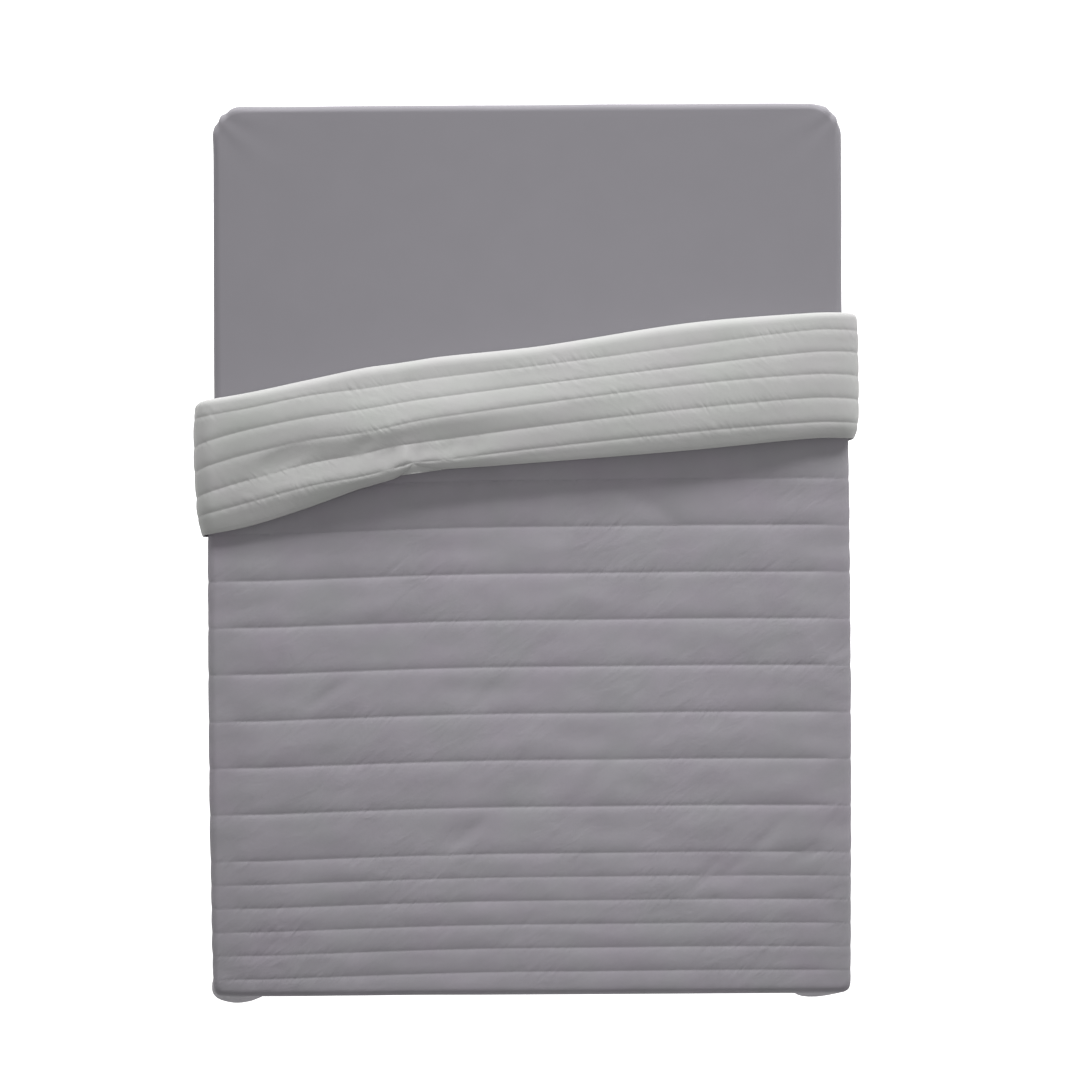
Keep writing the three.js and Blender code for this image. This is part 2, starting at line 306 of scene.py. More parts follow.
def cloth_grain_group() -> bpy.types.NodeTree:
    """The grain that every cloth shares: fine crossed threads, brushed fibres, and clouds of tone and hue.

    The threads are two crossed bands, multiplied; the fibres are fine noise; the clouds are slow noise. Red
    and blue gain in them what green loses.

    Returns:
        The node group, with outputs Colour and Height.
    """
    group = bpy.data.node_groups.new("cloth_grain", "ShaderNodeTree")
    sockets = group.interface
    sockets.new_socket("Cut", in_out="INPUT", socket_type="NodeSocketVector")
    sockets.new_socket("Colour", in_out="INPUT", socket_type="NodeSocketColor")
    for name in ("Thread pitch", "Tone change", "Hue change", "Fibre share"):
        sockets.new_socket(name, in_out="INPUT", socket_type="NodeSocketFloat")
    sockets.new_socket("Colour", in_out="OUTPUT", socket_type="NodeSocketColor")
    sockets.new_socket("Height", in_out="OUTPUT", socket_type="NodeSocketFloat")
    nodes = Nodes(group)
    given = group.nodes.new("NodeGroupInput")
    out = group.nodes.new("NodeGroupOutput")
    cut = given.outputs["Cut"]
    band_scale = nodes.math("DIVIDE", 2 * math.pi / WAVE_BANDS, given.outputs["Thread pitch"])
    wave = {"Vector": cut, "Scale": band_scale, "Distortion": 0.6, "Detail": 1.0}
    bands = [nodes.add("TexWave", wave, bands_direction=way).outputs["Fac"] for way in ("X", "Y")]
    threads = nodes.math("MULTIPLY", *bands)
    fibres = nodes.noise(cut, scale=620.0, detail=3.0)
    slow = nodes.noise(cut, scale=11.0, detail=3.0)
    blush = nodes.noise(cut, scale=8.0, detail=2.0, distortion=0.4)
    height = nodes.math("ADD", threads, nodes.math("MULTIPLY", fibres, given.outputs["Fibre share"]))
    tone = nodes.offset(slow, given.outputs["Tone change"])
    light = nodes.math("ADD", nodes.math("ADD", tone, nodes.offset(fibres, FIBRE_TONE)), 1.0)
    hue = nodes.offset(blush, given.outputs["Hue change"])
    gained, lost = nodes.math("ADD", light, hue), nodes.math("SUBTRACT", light, hue)
    group.links.new(nodes.tinted(given.outputs["Colour"], gained, lost, gained), out.inputs["Colour"])
    group.links.new(height, out.inputs["Height"])
    return group


@dataclass(frozen=True)
class Cloth:
    """A cloth finish.

    Attributes:
        name: the material's name.
        colour: linear red, green and blue of the lit cloth.
        thread_pitch: distance from one thread to the next.
        grain_depth: height of the grain.
        tone_change: share by which the tone drifts over the cloth.
        hue_change: share by which its hue drifts.
        fibre_share: how much brushed fibre there is beside the threads.
        sheen: weight of the soft shine of its fibres.
        roughness: roughness of the surface.
        pucker_depth: height of the small gathers at a seam, or 0 for none.
        rumple_depth: height of the slight slanting rumples all over it.
    """

    name: str
    colour: tuple[float, float, float]
    thread_pitch: float = 0.0006
    grain_depth: float = 0.00006
    tone_change: float = 0.06
    hue_change: float = 0.0
    fibre_share: float = 0.8
    sheen: float = 0.25
    roughness: float = 0.85
    pucker_depth: float = 0.0
    rumple_depth: float = 0.0017

    def material(self, grain: bpy.types.NodeTree) -> bpy.types.Material:
        """Makes the material.

        Args:
            grain: the shared cloth grain group.

        Returns:
            The material.
        """
        material = bpy.data.materials.new(self.name)
        material.use_nodes = True
        nodes = Nodes(material.node_tree)
        shader = material.node_tree.nodes["Principled BSDF"]
        cut = nodes.add("UVMap", uv_map=CUT_MAP).outputs["UV"]
        inputs = {
            "Cut": cut,
            "Colour": (*self.colour, 1.0),
            "Thread pitch": self.thread_pitch,
            "Tone change": self.tone_change,
            "Hue change": self.hue_change,
            "Fibre share": self.fibre_share,
        }
        group = nodes.add("Group", inputs, node_tree=grain)
        bump = nodes.add(
            "Bump", {"Height": group.outputs["Height"], "Distance": self.grain_depth, "Strength": 1.0}
        )
        if self.pucker_depth:
            bump = self.puckers(nodes, cut, bump)
        material.node_tree.links.new(group.outputs["Colour"], shader.inputs["Base Color"])
        material.node_tree.links.new(bump.outputs["Normal"], shader.inputs["Normal"])
        shader.inputs["Roughness"].default_value = self.roughness
        shader.inputs["Sheen Weight"].default_value = self.sheen
        shader.inputs["Sheen Roughness"].default_value = 0.5
        shader.inputs["Specular IOR Level"].default_value = 0.2
        return material

    def puckers(self, nodes: Nodes, cut: bpy.types.NodeSocket, under: bpy.types.Node) -> bpy.types.Node:
        """Adds the small gathers that run from a seam into the filling, and slight rumples.

        Both are noise stretched along a slant, stronger in some patches of the cloth than in others. The
        gathers fade out away from the seam by the near_seam attribute.

        Args:
            nodes: the material's nodes.
            cut: the place on the flat cut.
            under: the bump node that they lie on.

        Returns:
            The new bump node.
        """
        near = nodes.add("Attribute", attribute_name="near_seam").outputs["Fac"]
        slow = nodes.noise(cut, scale=4.5, detail=1.0)
        patch = nodes.add(
            "MapRange", {"Value": slow, "From Min": 0.40, "From Max": 0.64, "To Min": 0.35, "To Max": 1.0}
        ).outputs["Result"]
        gathers = nodes.slanted_noise(cut, angle=0.6, scale=(80.0, 16.0, 1.0), detail=1.5)
        rumples = nodes.slanted_noise(cut, angle=0.85, scale=(34.0, 13.0, 1.0), detail=3.0)
        for height, depth in (
            (nodes.math("MULTIPLY", gathers, near), self.pucker_depth), (rumples, self.rumple_depth)
        ):
            inputs = {
                "Height": nodes.math("MULTIPLY", height, patch),
                "Distance": depth,
                "Strength": 1.0,
                "Normal": under.outputs["Normal"],
            }
            under = nodes.add("Bump", inputs)
        return under


@dataclass(frozen=True)
class Plain:
    """A moulded or painted finish.

    Attributes:
        name: the material's name.
        colour: linear red, green and blue.
        roughness: roughness of the surface.
        grain_scale: how fine its moulded grain is.
        grain_depth: height of that grain.
        glow: light that it gives off by itself, as a lit studio floor does.
    """

    name: str
    colour: tuple[float, float, float]
    roughness: float = 0.5
    grain_scale: float = 900.0
    grain_depth: float = 0.00004
    glow: float = 0.0

    def material(self) -> bpy.types.Material:
        """Makes the material, with a fine grain and a slight change of tone."""
        material = bpy.data.materials.new(self.name)
        material.use_nodes = True
        nodes = Nodes(material.node_tree)
        shader = material.node_tree.nodes["Principled BSDF"]
        place = nodes.add("TexCoord").outputs["Object"]
        grain = nodes.noise(place, self.grain_scale, detail=2.0)
        slow = nodes.noise(place, scale=3.0, detail=2.0)
        tone = nodes.add("MapRange", {"Value": slow, "To Min": 0.96, "To Max": 1.04}).outputs["Result"]
        tinted = nodes.tinted((*self.colour, 1.0), tone, tone, tone)
        bump = nodes.add("Bump", {"Height": grain, "Distance": self.grain_depth})
        material.node_tree.links.new(tinted, shader.inputs["Base Color"])
        material.node_tree.links.new(bump.outputs["Normal"], shader.inputs["Normal"])
        shader.inputs["Roughness"].default_value = self.roughness
        shader.inputs["Emission Color"].default_value = (1.0, 1.0, 1.0, 1.0)
        shader.inputs["Emission Strength"].default_value = self.glow
        return material


FACE_CLOTH = Cloth(
    "face_cloth", (0.226, 0.215, 0.235), tone_change=0.20, hue_change=0.06, sheen=0.05, pucker_depth=0.0018
)
REVERSE_CLOTH = Cloth(
    "reverse_cloth",
    (0.347, 0.347, 0.342),
    tone_change=0.12,
    hue_change=0.04,
    sheen=0.05,
    pucker_depth=0.0017,
    rumple_depth=0.0010,
)
FACE_THREAD = Cloth("face_thread", (0.186, 0.179, 0.195), thread_pitch=0.0004, tone_change=0.0)
REVERSE_THREAD = Cloth("reverse_thread", (0.29, 0.29, 0.285), thread_pitch=0.0004, tone_change=0.0)
SHEET_CLOTH = Cloth(
    "sheet_cloth",
    (0.196, 0.189, 0.206),
    thread_pitch=0.0004,
    grain_depth=0.00003,
    fibre_share=0.2,
    sheen=0.1,
)
BASE_CLOTH = Cloth(
    "base_cloth",
    (0.27, 0.265, 0.275),
    thread_pitch=0.0016,
    grain_depth=0.0003,
    tone_change=0.1,
    fibre_share=0.5,
)
FOOT_PLASTIC = Plain("foot_plastic", (0.02, 0.02, 0.022), roughness=0.45)
FLOOR_PAINT = Plain("floor_paint", (0.93, 0.93, 0.93), roughness=0.9, grain_scale=40.0, glow=0.85)


# Sizes that the pieces share


@dataclass(frozen=True)
class BedSizes:
    """The bed under the spread.

    Attributes:
        width: across the mattress and the base.
        length: along them.
        corner: radius of their corners in plan.
        foot: height of the feet.
        base: height of the base.
        mattress: height of the mattress.
        gap: space between two pieces that rest on each other.
    """

    width: float = 1.350
    length: float = 1.900
    corner: float = 0.070
    foot: float = 0.040
    base: float = 0.290
    mattress: float = 0.250
    gap: float = 0.0003

    @property
    def top(self) -> float:
        """Height of the mattress's top above the floor."""
        return self.foot + self.base + self.mattress


class Channel(Enum):
    """The kinds of stitched channel, with the steps in which each is drawn."""

    HEM = 10
    NARROW = 12
    WIDE = 16


class Side(Enum):
    """The two cloths of the spread, by the way that they face on their flat cut."""

    FACE = 1
    REVERSE = -1


@dataclass(frozen=True)
class ChannelGroup:
    """A run of like channels.

    Attributes:
        kind: which kind they are.
        count: how many there are.
        pitch: cut width of each.
        loft: half thickness at the crown.
        foot_power: how squarely the crown falls to the seam on its foot side.
        head_power: the same on its head side.
    """

    kind: Channel
    count: int
    pitch: float
    loft: float
    foot_power: float
    head_power: float


@dataclass(frozen=True)
class FoldSection:
    """Where the fold-back's crest, seams and hem lie along the bed, at one place across it."""

    across: float
    crest: float
    seam1: float
    seam2: float
    seam3: float
    seam4: float
    seam5: float
    hem: float


@dataclass(frozen=True)
class SeamBow:
    """How far the seams of the lower layer are shifted along the bed, at one place across it."""

    across: float
    shift: float


@dataclass(frozen=True)
class FoldHeight:
    """Height over the mattress of the cloth's middle at the fold-back's seams and hem, at one place across.

    Past the mattress's edge it is the distance out from the mattress's side.
    """

    across: float
    seam1: float
    seam2: float
    seam3: float
    seam4: float
    seam5: float
    hem: float


@dataclass(frozen=True)
class Flute:
    """The soft fold of a hanging foot corner: which corner, its middle along the edge, width and reach."""

    side: int
    place: float
    width: float
    reach: float


@dataclass(frozen=True)
class Crease:
    """A soft trough or ridge on the top of the spread, seen in plan.

    Attributes:
        x: its middle across the bed.
        y: its middle along the bed.
        length: how long it is.
        width: how wide it is.
        turn: its direction, in degrees from the x axis.
        height: how far it stands out, or in where negative.
    """

    x: float
    y: float
    length: float
    width: float
    turn: float
    height: float

    def at(self, x: Array, y: Array) -> Array:
        """Its height at each place: a bell along its length times a bell across its width."""
        angle = math.radians(self.turn)
        along = (x - self.x) * math.cos(angle) + (y - self.y) * math.sin(angle)
        across = (y - self.y) * math.cos(angle) - (x - self.x) * math.sin(angle)
        return self.height * np.exp(-((2 * along / self.length) ** 2) - (2 * across / self.width) ** 2)


@dataclass(frozen=True)
class Hills:
    """Soft random hills on a surface.

    Attributes:
        height: how high they are.
        pitch: from one to the next along the surface's first and second coordinate.
        start: where their pattern starts along each, counted in hills.
        seed: number that fixes them.
    """

    height: float
    pitch: tuple[float, float]
    start: tuple[float, float]
    seed: int

    def at(self, x: Array, y: Array) -> Array:
        """Their height at each place."""
        first = x / self.pitch[0] + self.start[0]
        second = y / self.pitch[1] + self.start[1]
        return self.height * soft_noise(first, second, self.seed)


CHANNEL_GROUPS = (
    ChannelGroup(Channel.HEM, 1, 0.0420, 0.0029, 2.4, 3.0),
    ChannelGroup(Channel.NARROW, 11, 0.0504, 0.0036, 2.0, 2.2),
    ChannelGroup(Channel.WIDE, 11, 0.1008, 0.0043, 3.8, 5.0),
    ChannelGroup(Channel.NARROW, 5, 0.0504, 0.0030, 3.0, 3.0),
    ChannelGroup(Channel.HEM, 1, 0.0420, 0.0029, 3.0, 2.4),
)

SEAM_BOW = (
    SeamBow(-0.640, -0.0140),
    SeamBow(-0.560, -0.0138),
    SeamBow(-0.400, -0.0092),
    SeamBow(-0.230, -0.0044),
    SeamBow(-0.060, -0.0015),
    SeamBow(0.150, -0.0008),
    SeamBow(0.360, 0.0003),
    SeamBow(0.640, -0.0006),
)

FOLD_SECTIONS = (
    FoldSection(-0.720, 0.312, 0.278, 0.218, 0.165, 0.110, 0.068, 0.028),
    FoldSection(-0.605, 0.327, 0.294, 0.248, 0.197, 0.142, 0.095, 0.045),
    FoldSection(-0.466, 0.356, 0.322, 0.276, 0.228, 0.179, 0.131, 0.087),
    FoldSection(-0.345, 0.381, 0.337, 0.293, 0.244, 0.200, 0.153, 0.130),
    FoldSection(-0.285, 0.389, 0.346, 0.303, 0.256, 0.214, 0.168, 0.146),
    FoldSection(-0.243, 0.395, 0.352, 0.310, 0.265, 0.220, 0.180, 0.169),
    FoldSection(-0.190, 0.403, 0.359, 0.317, 0.274, 0.227, 0.184, 0.166),
    FoldSection(0.020, 0.424, 0.383, 0.343, 0.302, 0.254, 0.209, 0.179),
    FoldSection(0.343, 0.472, 0.424, 0.381, 0.341, 0.290, 0.241, 0.203),
    FoldSection(0.605, 0.492, 0.456, 0.409, 0.362, 0.312, 0.261, 0.227),
    FoldSection(0.720, 0.495, 0.458, 0.412, 0.362, 0.312, 0.262, 0.229),
)

FOLD_HEIGHTS = (
    FoldHeight(-0.700, 0.035, 0.035, 0.0335, 0.0295, 0.026, 0.017),
    FoldHeight(-0.605, 0.044, 0.043, 0.040, 0.035, 0.032, 0.022),
    FoldHeight(-0.450, 0.043, 0.047, 0.047, 0.040, 0.042, 0.031),
    FoldHeight(-0.300, 0.042, 0.049, 0.054, 0.047, 0.048, 0.039),
    FoldHeight(-0.147, 0.041, 0.048, 0.054, 0.047, 0.047, 0.039),
    FoldHeight(0.020, 0.041, 0.046, 0.051, 0.048, 0.045, 0.038),
    FoldHeight(0.343, 0.041, 0.044, 0.047, 0.048, 0.046, 0.038),
    FoldHeight(0.520, 0.038, 0.041, 0.043, 0.043, 0.040, 0.032),
    FoldHeight(0.605, 0.035, 0.037, 0.038, 0.037, 0.034, 0.026),
    FoldHeight(0.700, 0.028, 0.028, 0.028, 0.0275, 0.0255, 0.016),
)

FLUTES = (
    Flute(-1, place=0.090, width=0.175, reach=0.126),
    Flute(1, place=0.106, width=0.224, reach=0.114),
)

FACE_CREASES = (
    Crease(0.236, 0.092, 0.105, 0.022, -44, -0.0014),
    Crease(0.272, 0.082, 0.110, 0.020, -46, -0.0016),
    Crease(0.301, 0.066, 0.080, 0.018, -46, -0.0010),
    Crease(-0.170, -0.606, 0.090, 0.020, 52, -0.0026),
    Crease(-0.149, -0.614, 0.100, 0.018, 50, -0.0034),
    Crease(-0.127, -0.608, 0.090, 0.018, 47, -0.0030),
    Crease(-0.428, -0.309, 0.100, 0.024, 34, -0.0026),
    Crease(-0.087, -0.313, 0.110, 0.026, 52, -0.0022),
    Crease(0.140, -0.495, 0.150, 0.030, 54, -0.0022),
    Crease(0.372, -0.700, 0.090, 0.020, 52, -0.0030),
    Crease(0.428, -0.690, 0.070, 0.022, 48, -0.0022),
    Crease(0.502, -0.620, 0.090, 0.024, 52, -0.0026),
    Crease(0.588, -0.654, 0.070, 0.026, 40, -0.0022),
)

FOLD_CREASES = (
    Crease(-0.294, 0.181, 0.060, 0.020, 80, -0.0060),
    Crease(-0.262, 0.181, 0.060, 0.018, 80, 0.0050),
    Crease(-0.240, 0.183, 0.050, 0.016, 75, -0.0052),
    Crease(-0.170, 0.199, 0.050, 0.024, 65, -0.0040),
    Crease(-0.520, 0.189, 0.110, 0.040, 30, -0.0036),
    Crease(-0.350, 0.215, 0.070, 0.022, 60, -0.0030),
    Crease(-0.120, 0.205, 0.060, 0.022, 72, -0.0026),
)

CLOTH_HILLS = (Hills(0.0012, (0.130, 0.060), (40, 0), 11), Hills(0.0006, (0.055, 0.034), (40, 0), 12))
SHEET_HILLS = Hills(0.0006, (0.160, 0.160), (20, 20), 31)
PADDING_HILLS = Hills(0.0014, (0.200, 0.110), (20, 20), 41)


@dataclass
class SpreadShape:
    """The middle surface of the spread as it lies on the bed, and its thickness.

    The cloth lies flat on the mattress, rolls round the edge with a fixed radius, and hangs. Past the crest
    it turns over and lies back on itself. Each foot corner stands off the mattress in a soft squared flute.

    Attributes:
        bed: the bed under it.
        width: of the flat cut.
        hem_width: width of the side hems.
        seam_half: half thickness at a seam.
        edge_crown: share of its fullness that the lower layer keeps beyond the mattress's edge.
        edge_flattening: from and to how far across that fullness falls.
        wide_draw_in: length on the bed of a wide channel for each length on the cut.
        layer_lift: height of the lower layer's middle over the mattress.
        last_top_seam: number of the last seam on the top before the foot edge.
        last_top_along: its place along the bed.
        roll_radius: radius of the mattress's edge under the cloth.
        side_dip: how far towards the foot the cloth sags at the sides.
        dip_width: width over which that sag grows.
        ease_left: extra lift over the left edge.
        ease_right: extra lift over the right edge.
        ease_middle: where along the bed that lift is greatest.
        ease_spread: how far it reaches from there.
        ease_width: width over which it grows towards the edge.
        wave_reach: how far the slow wave of the drops stands out.
        wave_pitch: from one wave to the next.
        wave_depth: depth at which the wave is full.
        wave_start: from and to how far from the middle of a foot corner the wave grows.
        corner_run: length of the edge that a foot corner counts for.
        corner_squareness: power of the corner's squared outline; 2 would be round.
        most_lean: most that the drop may lean out, for each length of it.
        flute_depth: depth in which a flute comes out.
        crest_radius_top: radius in plan of the fold-back's crest on the bed.
        crest_radius_side: the same over the sides.
        crest_half_run: half the length of cloth in the turn.
        crest_sink: how far the top of the turn lies below the first seam of the fold-back.
        crest_fade: from and to how far across the one radius passes into the other.
    """

    bed: BedSizes = field(default_factory=BedSizes)
    width: float = 2.000
    hem_width: float = 0.040
    seam_half: float = 0.0012
    edge_crown: float = 0.45
    edge_flattening: tuple[float, float] = (0.600, 0.655)
    wide_draw_in: float = 0.987
    layer_lift: float = 0.0048
    last_top_seam: int = 7
    last_top_along: float = -0.904
    roll_radius: float = 0.008
    side_dip: float = 0.002
    dip_width: float = 0.110
    ease_left: float = 0.006
    ease_right: float = 0.004
    ease_middle: float = -0.241
    ease_spread: float = 0.700
    ease_width: float = 0.160
    wave_reach: float = 0.007
    wave_pitch: float = 0.410
    wave_depth: float = 0.280
    wave_start: tuple[float, float] = (0.080, 0.260)
    corner_run: float = 0.120
    corner_squareness: float = 9.0
    most_lean: float = 0.75
    flute_depth: float = 0.375
    crest_radius_top: float = 0.020
    crest_radius_side: float = 0.013
    crest_half_run: float = 0.030
    crest_sink: float = 0.002
    crest_fade: tuple[float, float] = (0.440, 0.640)

    def __post_init__(self) -> None:
        """Works out where each seam lies on the cut."""
        groups = [group for group in CHANNEL_GROUPS for _ in range(group.count)]
        self.kinds = [group.kind for group in groups]
        self.lofts = np.array([group.loft for group in groups])
        self.powers = np.array([[group.foot_power, group.head_power] for group in groups])
        self.seams = np.concatenate([[0.0], np.cumsum([group.pitch for group in groups])])
        self.length = float(self.seams[-1])
        wide = [i for i, kind in enumerate(self.kinds) if kind is Channel.WIDE]
        self.wide_start = float(self.seams[wide[0]])
        self.crest_at = float(self.seams[wide[-1] + 1])
        self.rest_at = float(self.seams[wide[-1] - 2])
        self.fold_seams = self.seams[wide[-1] + 2:]
        self.roll_run = self.bed.corner - self.roll_radius
        self.inner_side = self.bed.width / 2 - self.bed.corner
        self.inner_foot = -(self.bed.length / 2 - self.bed.corner)

    def channel_share(self, v: Array) -> tuple[Array, Array]:
        """The number of the channel at each v, and how far across that channel it is, from 0 to 1."""
        number = np.clip(np.searchsorted(self.seams, v, side="right") - 1, 0, len(self.lofts) - 1)
        start = self.seams[number]
        return number, np.clip((v - start) / (self.seams[number + 1] - start), 0.0, 1.0)

    def crown(self, v: Array) -> Array:
        """The fullness across a channel, 0 at its seams and 1 in its middle.

        It is 1 less a power of the way from the middle to the seam, with a power for each side.
        """
        number, share = self.channel_share(v)
        power = np.where(share < 0.5, self.powers[number, 0], self.powers[number, 1])
        return 1.0 - np.abs(2.0 * share - 1.0) ** power

    def side_hem(self, u: Array) -> Array:
        """A factor, 1 over the cloth, that falls to 0 across its side hems."""
        return 1.0 - smoothstep(self.width / 2 - self.hem_width, self.width / 2, np.abs(u))

    def half_thickness(self, u: Array, v: Array) -> Array:
        """Half the thickness of the filled cloth: most at a crown, least at its seams and side hems.

        The lower layer is pressed flatter from where it goes round the mattress's edge.
        """
        loft = self.lofts[self.channel_share(v)[0]]
        over_edge = smoothstep(*self.edge_flattening, np.abs(u)) * (v < self.crest_at)
        pressed = 1.0 - (1.0 - self.edge_crown) * over_edge
        return self.seam_half + (loft - self.seam_half) * self.crown(v) * self.side_hem(u) * pressed

    def lower_along(self, v: Array) -> Array:
        """Distance along the bed of the lower layer; the filling draws wide channels in a little."""
        seam_at = self.seams[self.last_top_seam]
        narrow = self.last_top_along + v - seam_at
        wide = self.last_top_along + self.wide_start - seam_at + (v - self.wide_start) * self.wide_draw_in
        return np.where(v <= self.wide_start, narrow, wide)

    def seam_shift(self, across: Array) -> Array:
        """How far the lower layer's seams are shifted along the bed, by a smooth curve through a table."""
        places = np.array([row.across for row in SEAM_BOW])
        return cubic_through(places, np.array([row.shift for row in SEAM_BOW]), across)

    def across_fold(
        self, table: Sequence[FoldSection] | Sequence[FoldHeight], name: str, across: Array
    ) -> Array:
        """One column of a table of the fold-back, read across the cut as a smooth curve.

        Args:
            table: the fold sections or the fold heights.
            name: the column.
            across: places across the cut.

        Returns:
            A value for each place.
        """
        places = np.array([row.across for row in table])
        return cubic_through(places, np.array([getattr(row, name) for row in table]), across)

    def lengthwise(self, u: Array, v: Array) -> tuple[Array, Array]:
        """Place along the bed, and lift over the mattress, of the cloth's middle.

        Args:
            u: places across the cut.
            v: places along it.

        Returns:
            Two arrays: the distance along the bed, and the lift.
        """
        names = ("seam1", "seam2", "seam3", "seam4", "seam5", "hem")
        on_side = smoothstep(*self.crest_fade, np.abs(u))
        radius = self.crest_radius_top + (self.crest_radius_side - self.crest_radius_top) * on_side
        start, end = self.crest_at - self.crest_half_run, self.crest_at + self.crest_half_run
        crest = self.across_fold(FOLD_SECTIONS, "crest", u)
        lifts = [self.across_fold(FOLD_HEIGHTS, name, u) for name in names]
        top_lift = lifts[0] - self.crest_sink
        shift = self.seam_shift(u)
        rest = float(self.lower_along(np.array([self.rest_at]))[0]) + shift
        towards = rest + (crest - radius - rest) * (v - self.rest_at) / (start - self.rest_at)
        angle = math.pi * (np.clip((v - start) / (end - start), 0, 1) - 0.5)
        half = (top_lift - self.layer_lift) / 2
        places = np.array([end, *self.fold_seams])
        alongs = np.stack([crest - radius] + [self.across_fold(FOLD_SECTIONS, name, u) for name in names])
        over_along = cubic_through(places, alongs, v)
        over_lift = cubic_through(places, np.stack([top_lift, *lifts]), v)
        stages = [v <= self.rest_at, v <= start, v <= end]
        turn_along = crest - radius + radius * np.cos(angle)
        turn_lift = self.layer_lift + half + half * np.sin(angle)
        level = np.full_like(v, self.layer_lift)
        along = np.select(stages, [self.lower_along(v) + shift, towards, turn_along], over_along)
        return along, np.select(stages, [level, level, turn_lift], over_lift)

    def flute_reach(self, side: Array, edge_place: Array) -> Array:
        """How far a corner's flute would stand out far below the edge: a raised cosine along the edge."""
        reach = np.zeros_like(edge_place)
        for flute in FLUTES:
            offset = np.minimum(np.abs(edge_place - flute.place) / flute.width, 0.5)
            reach = reach + np.where(side == flute.side, flute.reach * np.cos(math.pi * offset) ** 2, 0.0)
        return reach

    def stand_out(self, side: Array, edge_place: Array, drop: Array) -> Array:
        """How far the hanging cloth stands out from the bed, growing with the depth below the edge.

        A slow wave runs along the straight sides, and a flute stands at each foot corner.

        Args:
            side: -1 on the left and 1 on the right.
            edge_place: distance along the bed's edge from where the corner starts.
            drop: depth below the edge.

        Returns:
            The distance out.
        """
        wave = 0.5 + 0.5 * np.sin(2 * math.pi * edge_place / self.wave_pitch + side)
        straight = smoothstep(*self.wave_start, np.abs(edge_place - self.corner_run / 2))
        out = self.wave_reach * wave * straight * np.minimum(drop / self.wave_depth, 1.0)
        return out + self.flute_reach(side, edge_place) * np.tanh(drop / self.flute_depth)

    def square(self, turn: Array) -> Array:
        """How much further out a squared corner reaches than a round one.

        It is one over the p-th root of the sum of the p-th powers of the turn's cosine and sine.

        Args:
            turn: share of the way round the corner, from the side to the foot.

        Returns:
            A factor, 1 where the corner starts and ends.
        """
        angle, power = turn * math.pi / 2, self.corner_squareness
        return (np.abs(np.cos(angle)) ** power + np.abs(np.sin(angle)) ** power) ** (-1 / power)

    def over_bed(self, across: Array, along: Array, lift: Array) -> Array:
        """Lays points of flat cloth over the bed.

        Inside the inner rectangle a point keeps its place. Beyond it the point goes straight out from the
        rectangle: first flat, then round the edge, then down, leaning out by stand_out. The turn round the
        edge is a quarter circle, less the lean with which a flute starts. At a corner all of it is drawn out
        towards a square outline.

        Args:
            across: places across the flat cloth.
            along: places along it, from the middle of the bed.
            lift: height of the cloth's middle over the mattress.

        Returns:
            N by 3 places.
        """
        side = np.where(across < 0, -1.0, 1.0)
        past_side = np.abs(across) - self.inner_side
        past_foot = self.inner_foot - along
        beyond_side, beyond_foot = np.maximum(past_side, 0.0), np.maximum(past_foot, 0.0)
        reach = np.hypot(beyond_side, beyond_foot)
        ease = np.where(side < 0, self.ease_left, self.ease_right)
        bow = np.maximum(1.0 - ((along - self.ease_middle) / self.ease_spread) ** 2, 0.0)
        height = lift + smoothstep(-self.ease_width, 0.0, past_side) * ease * bow
        safe = np.maximum(reach, TINY)
        out_x, out_y = side * beyond_side / safe, -beyond_foot / safe
        radius = self.roll_radius + height
        turn = 2 / math.pi * np.arctan2(beyond_foot, beyond_side)
        square = self.square(turn)
        flat = self.roll_run * square
        edge_place = turn * self.corner_run + np.minimum(past_foot, 0.0) + np.maximum(-past_side, 0.0)
        most_turn = np.arccos(self.flute_reach(side, edge_place) / self.flute_depth)
        angle = np.clip((reach - flat) / radius, 0.0, most_turn)
        drop = np.maximum(reach - flat - radius * most_turn, 0.0)
        out = np.minimum(self.stand_out(side, edge_place, drop), drop * self.most_lean)
        away = np.minimum(reach, flat) + (radius * np.sin(angle) + out) * square
        fall = radius * (1 - np.cos(angle)) + np.sqrt(drop * drop - out * out)
        return np.stack(
            [
                across - side * beyond_side + out_x * away,
                along + beyond_foot + out_y * away,
                self.bed.top + height - fall,
            ],
            axis=1,
        )

    def middle(self, u: Array, v: Array) -> Array:
        """The cloth's middle surface, N by 3, for N places on the cut."""
        along, lift = self.lengthwise(u, v)
        dip = self.side_dip * smoothstep(self.inner_side, self.inner_side + self.dip_width, np.abs(u))
        return self.over_bed(u, along - dip, lift)

    def tangents(self, u: Array, v: Array, step: float) -> tuple[Array, Array]:
        """How far the middle surface goes from a step before each place to a step after it.

        Args:
            u: places across the cut.
            v: places along it.
            step: length of the step on the cut.

        Returns:
            Two N by 3 arrays: the way across the cut, and the way along it.
        """
        across = self.middle(u + step, v) - self.middle(u - step, v)
        along = self.middle(u, v + step) - self.middle(u, v - step)
        return across, along

    def normal(self, u: Array, v: Array, step: float = 0.002) -> Array:
        """Unit normals of the middle surface towards the face cloth, from small steps along u and v."""
        return unit(np.cross(*self.tangents(u, v, step)))


# The spread


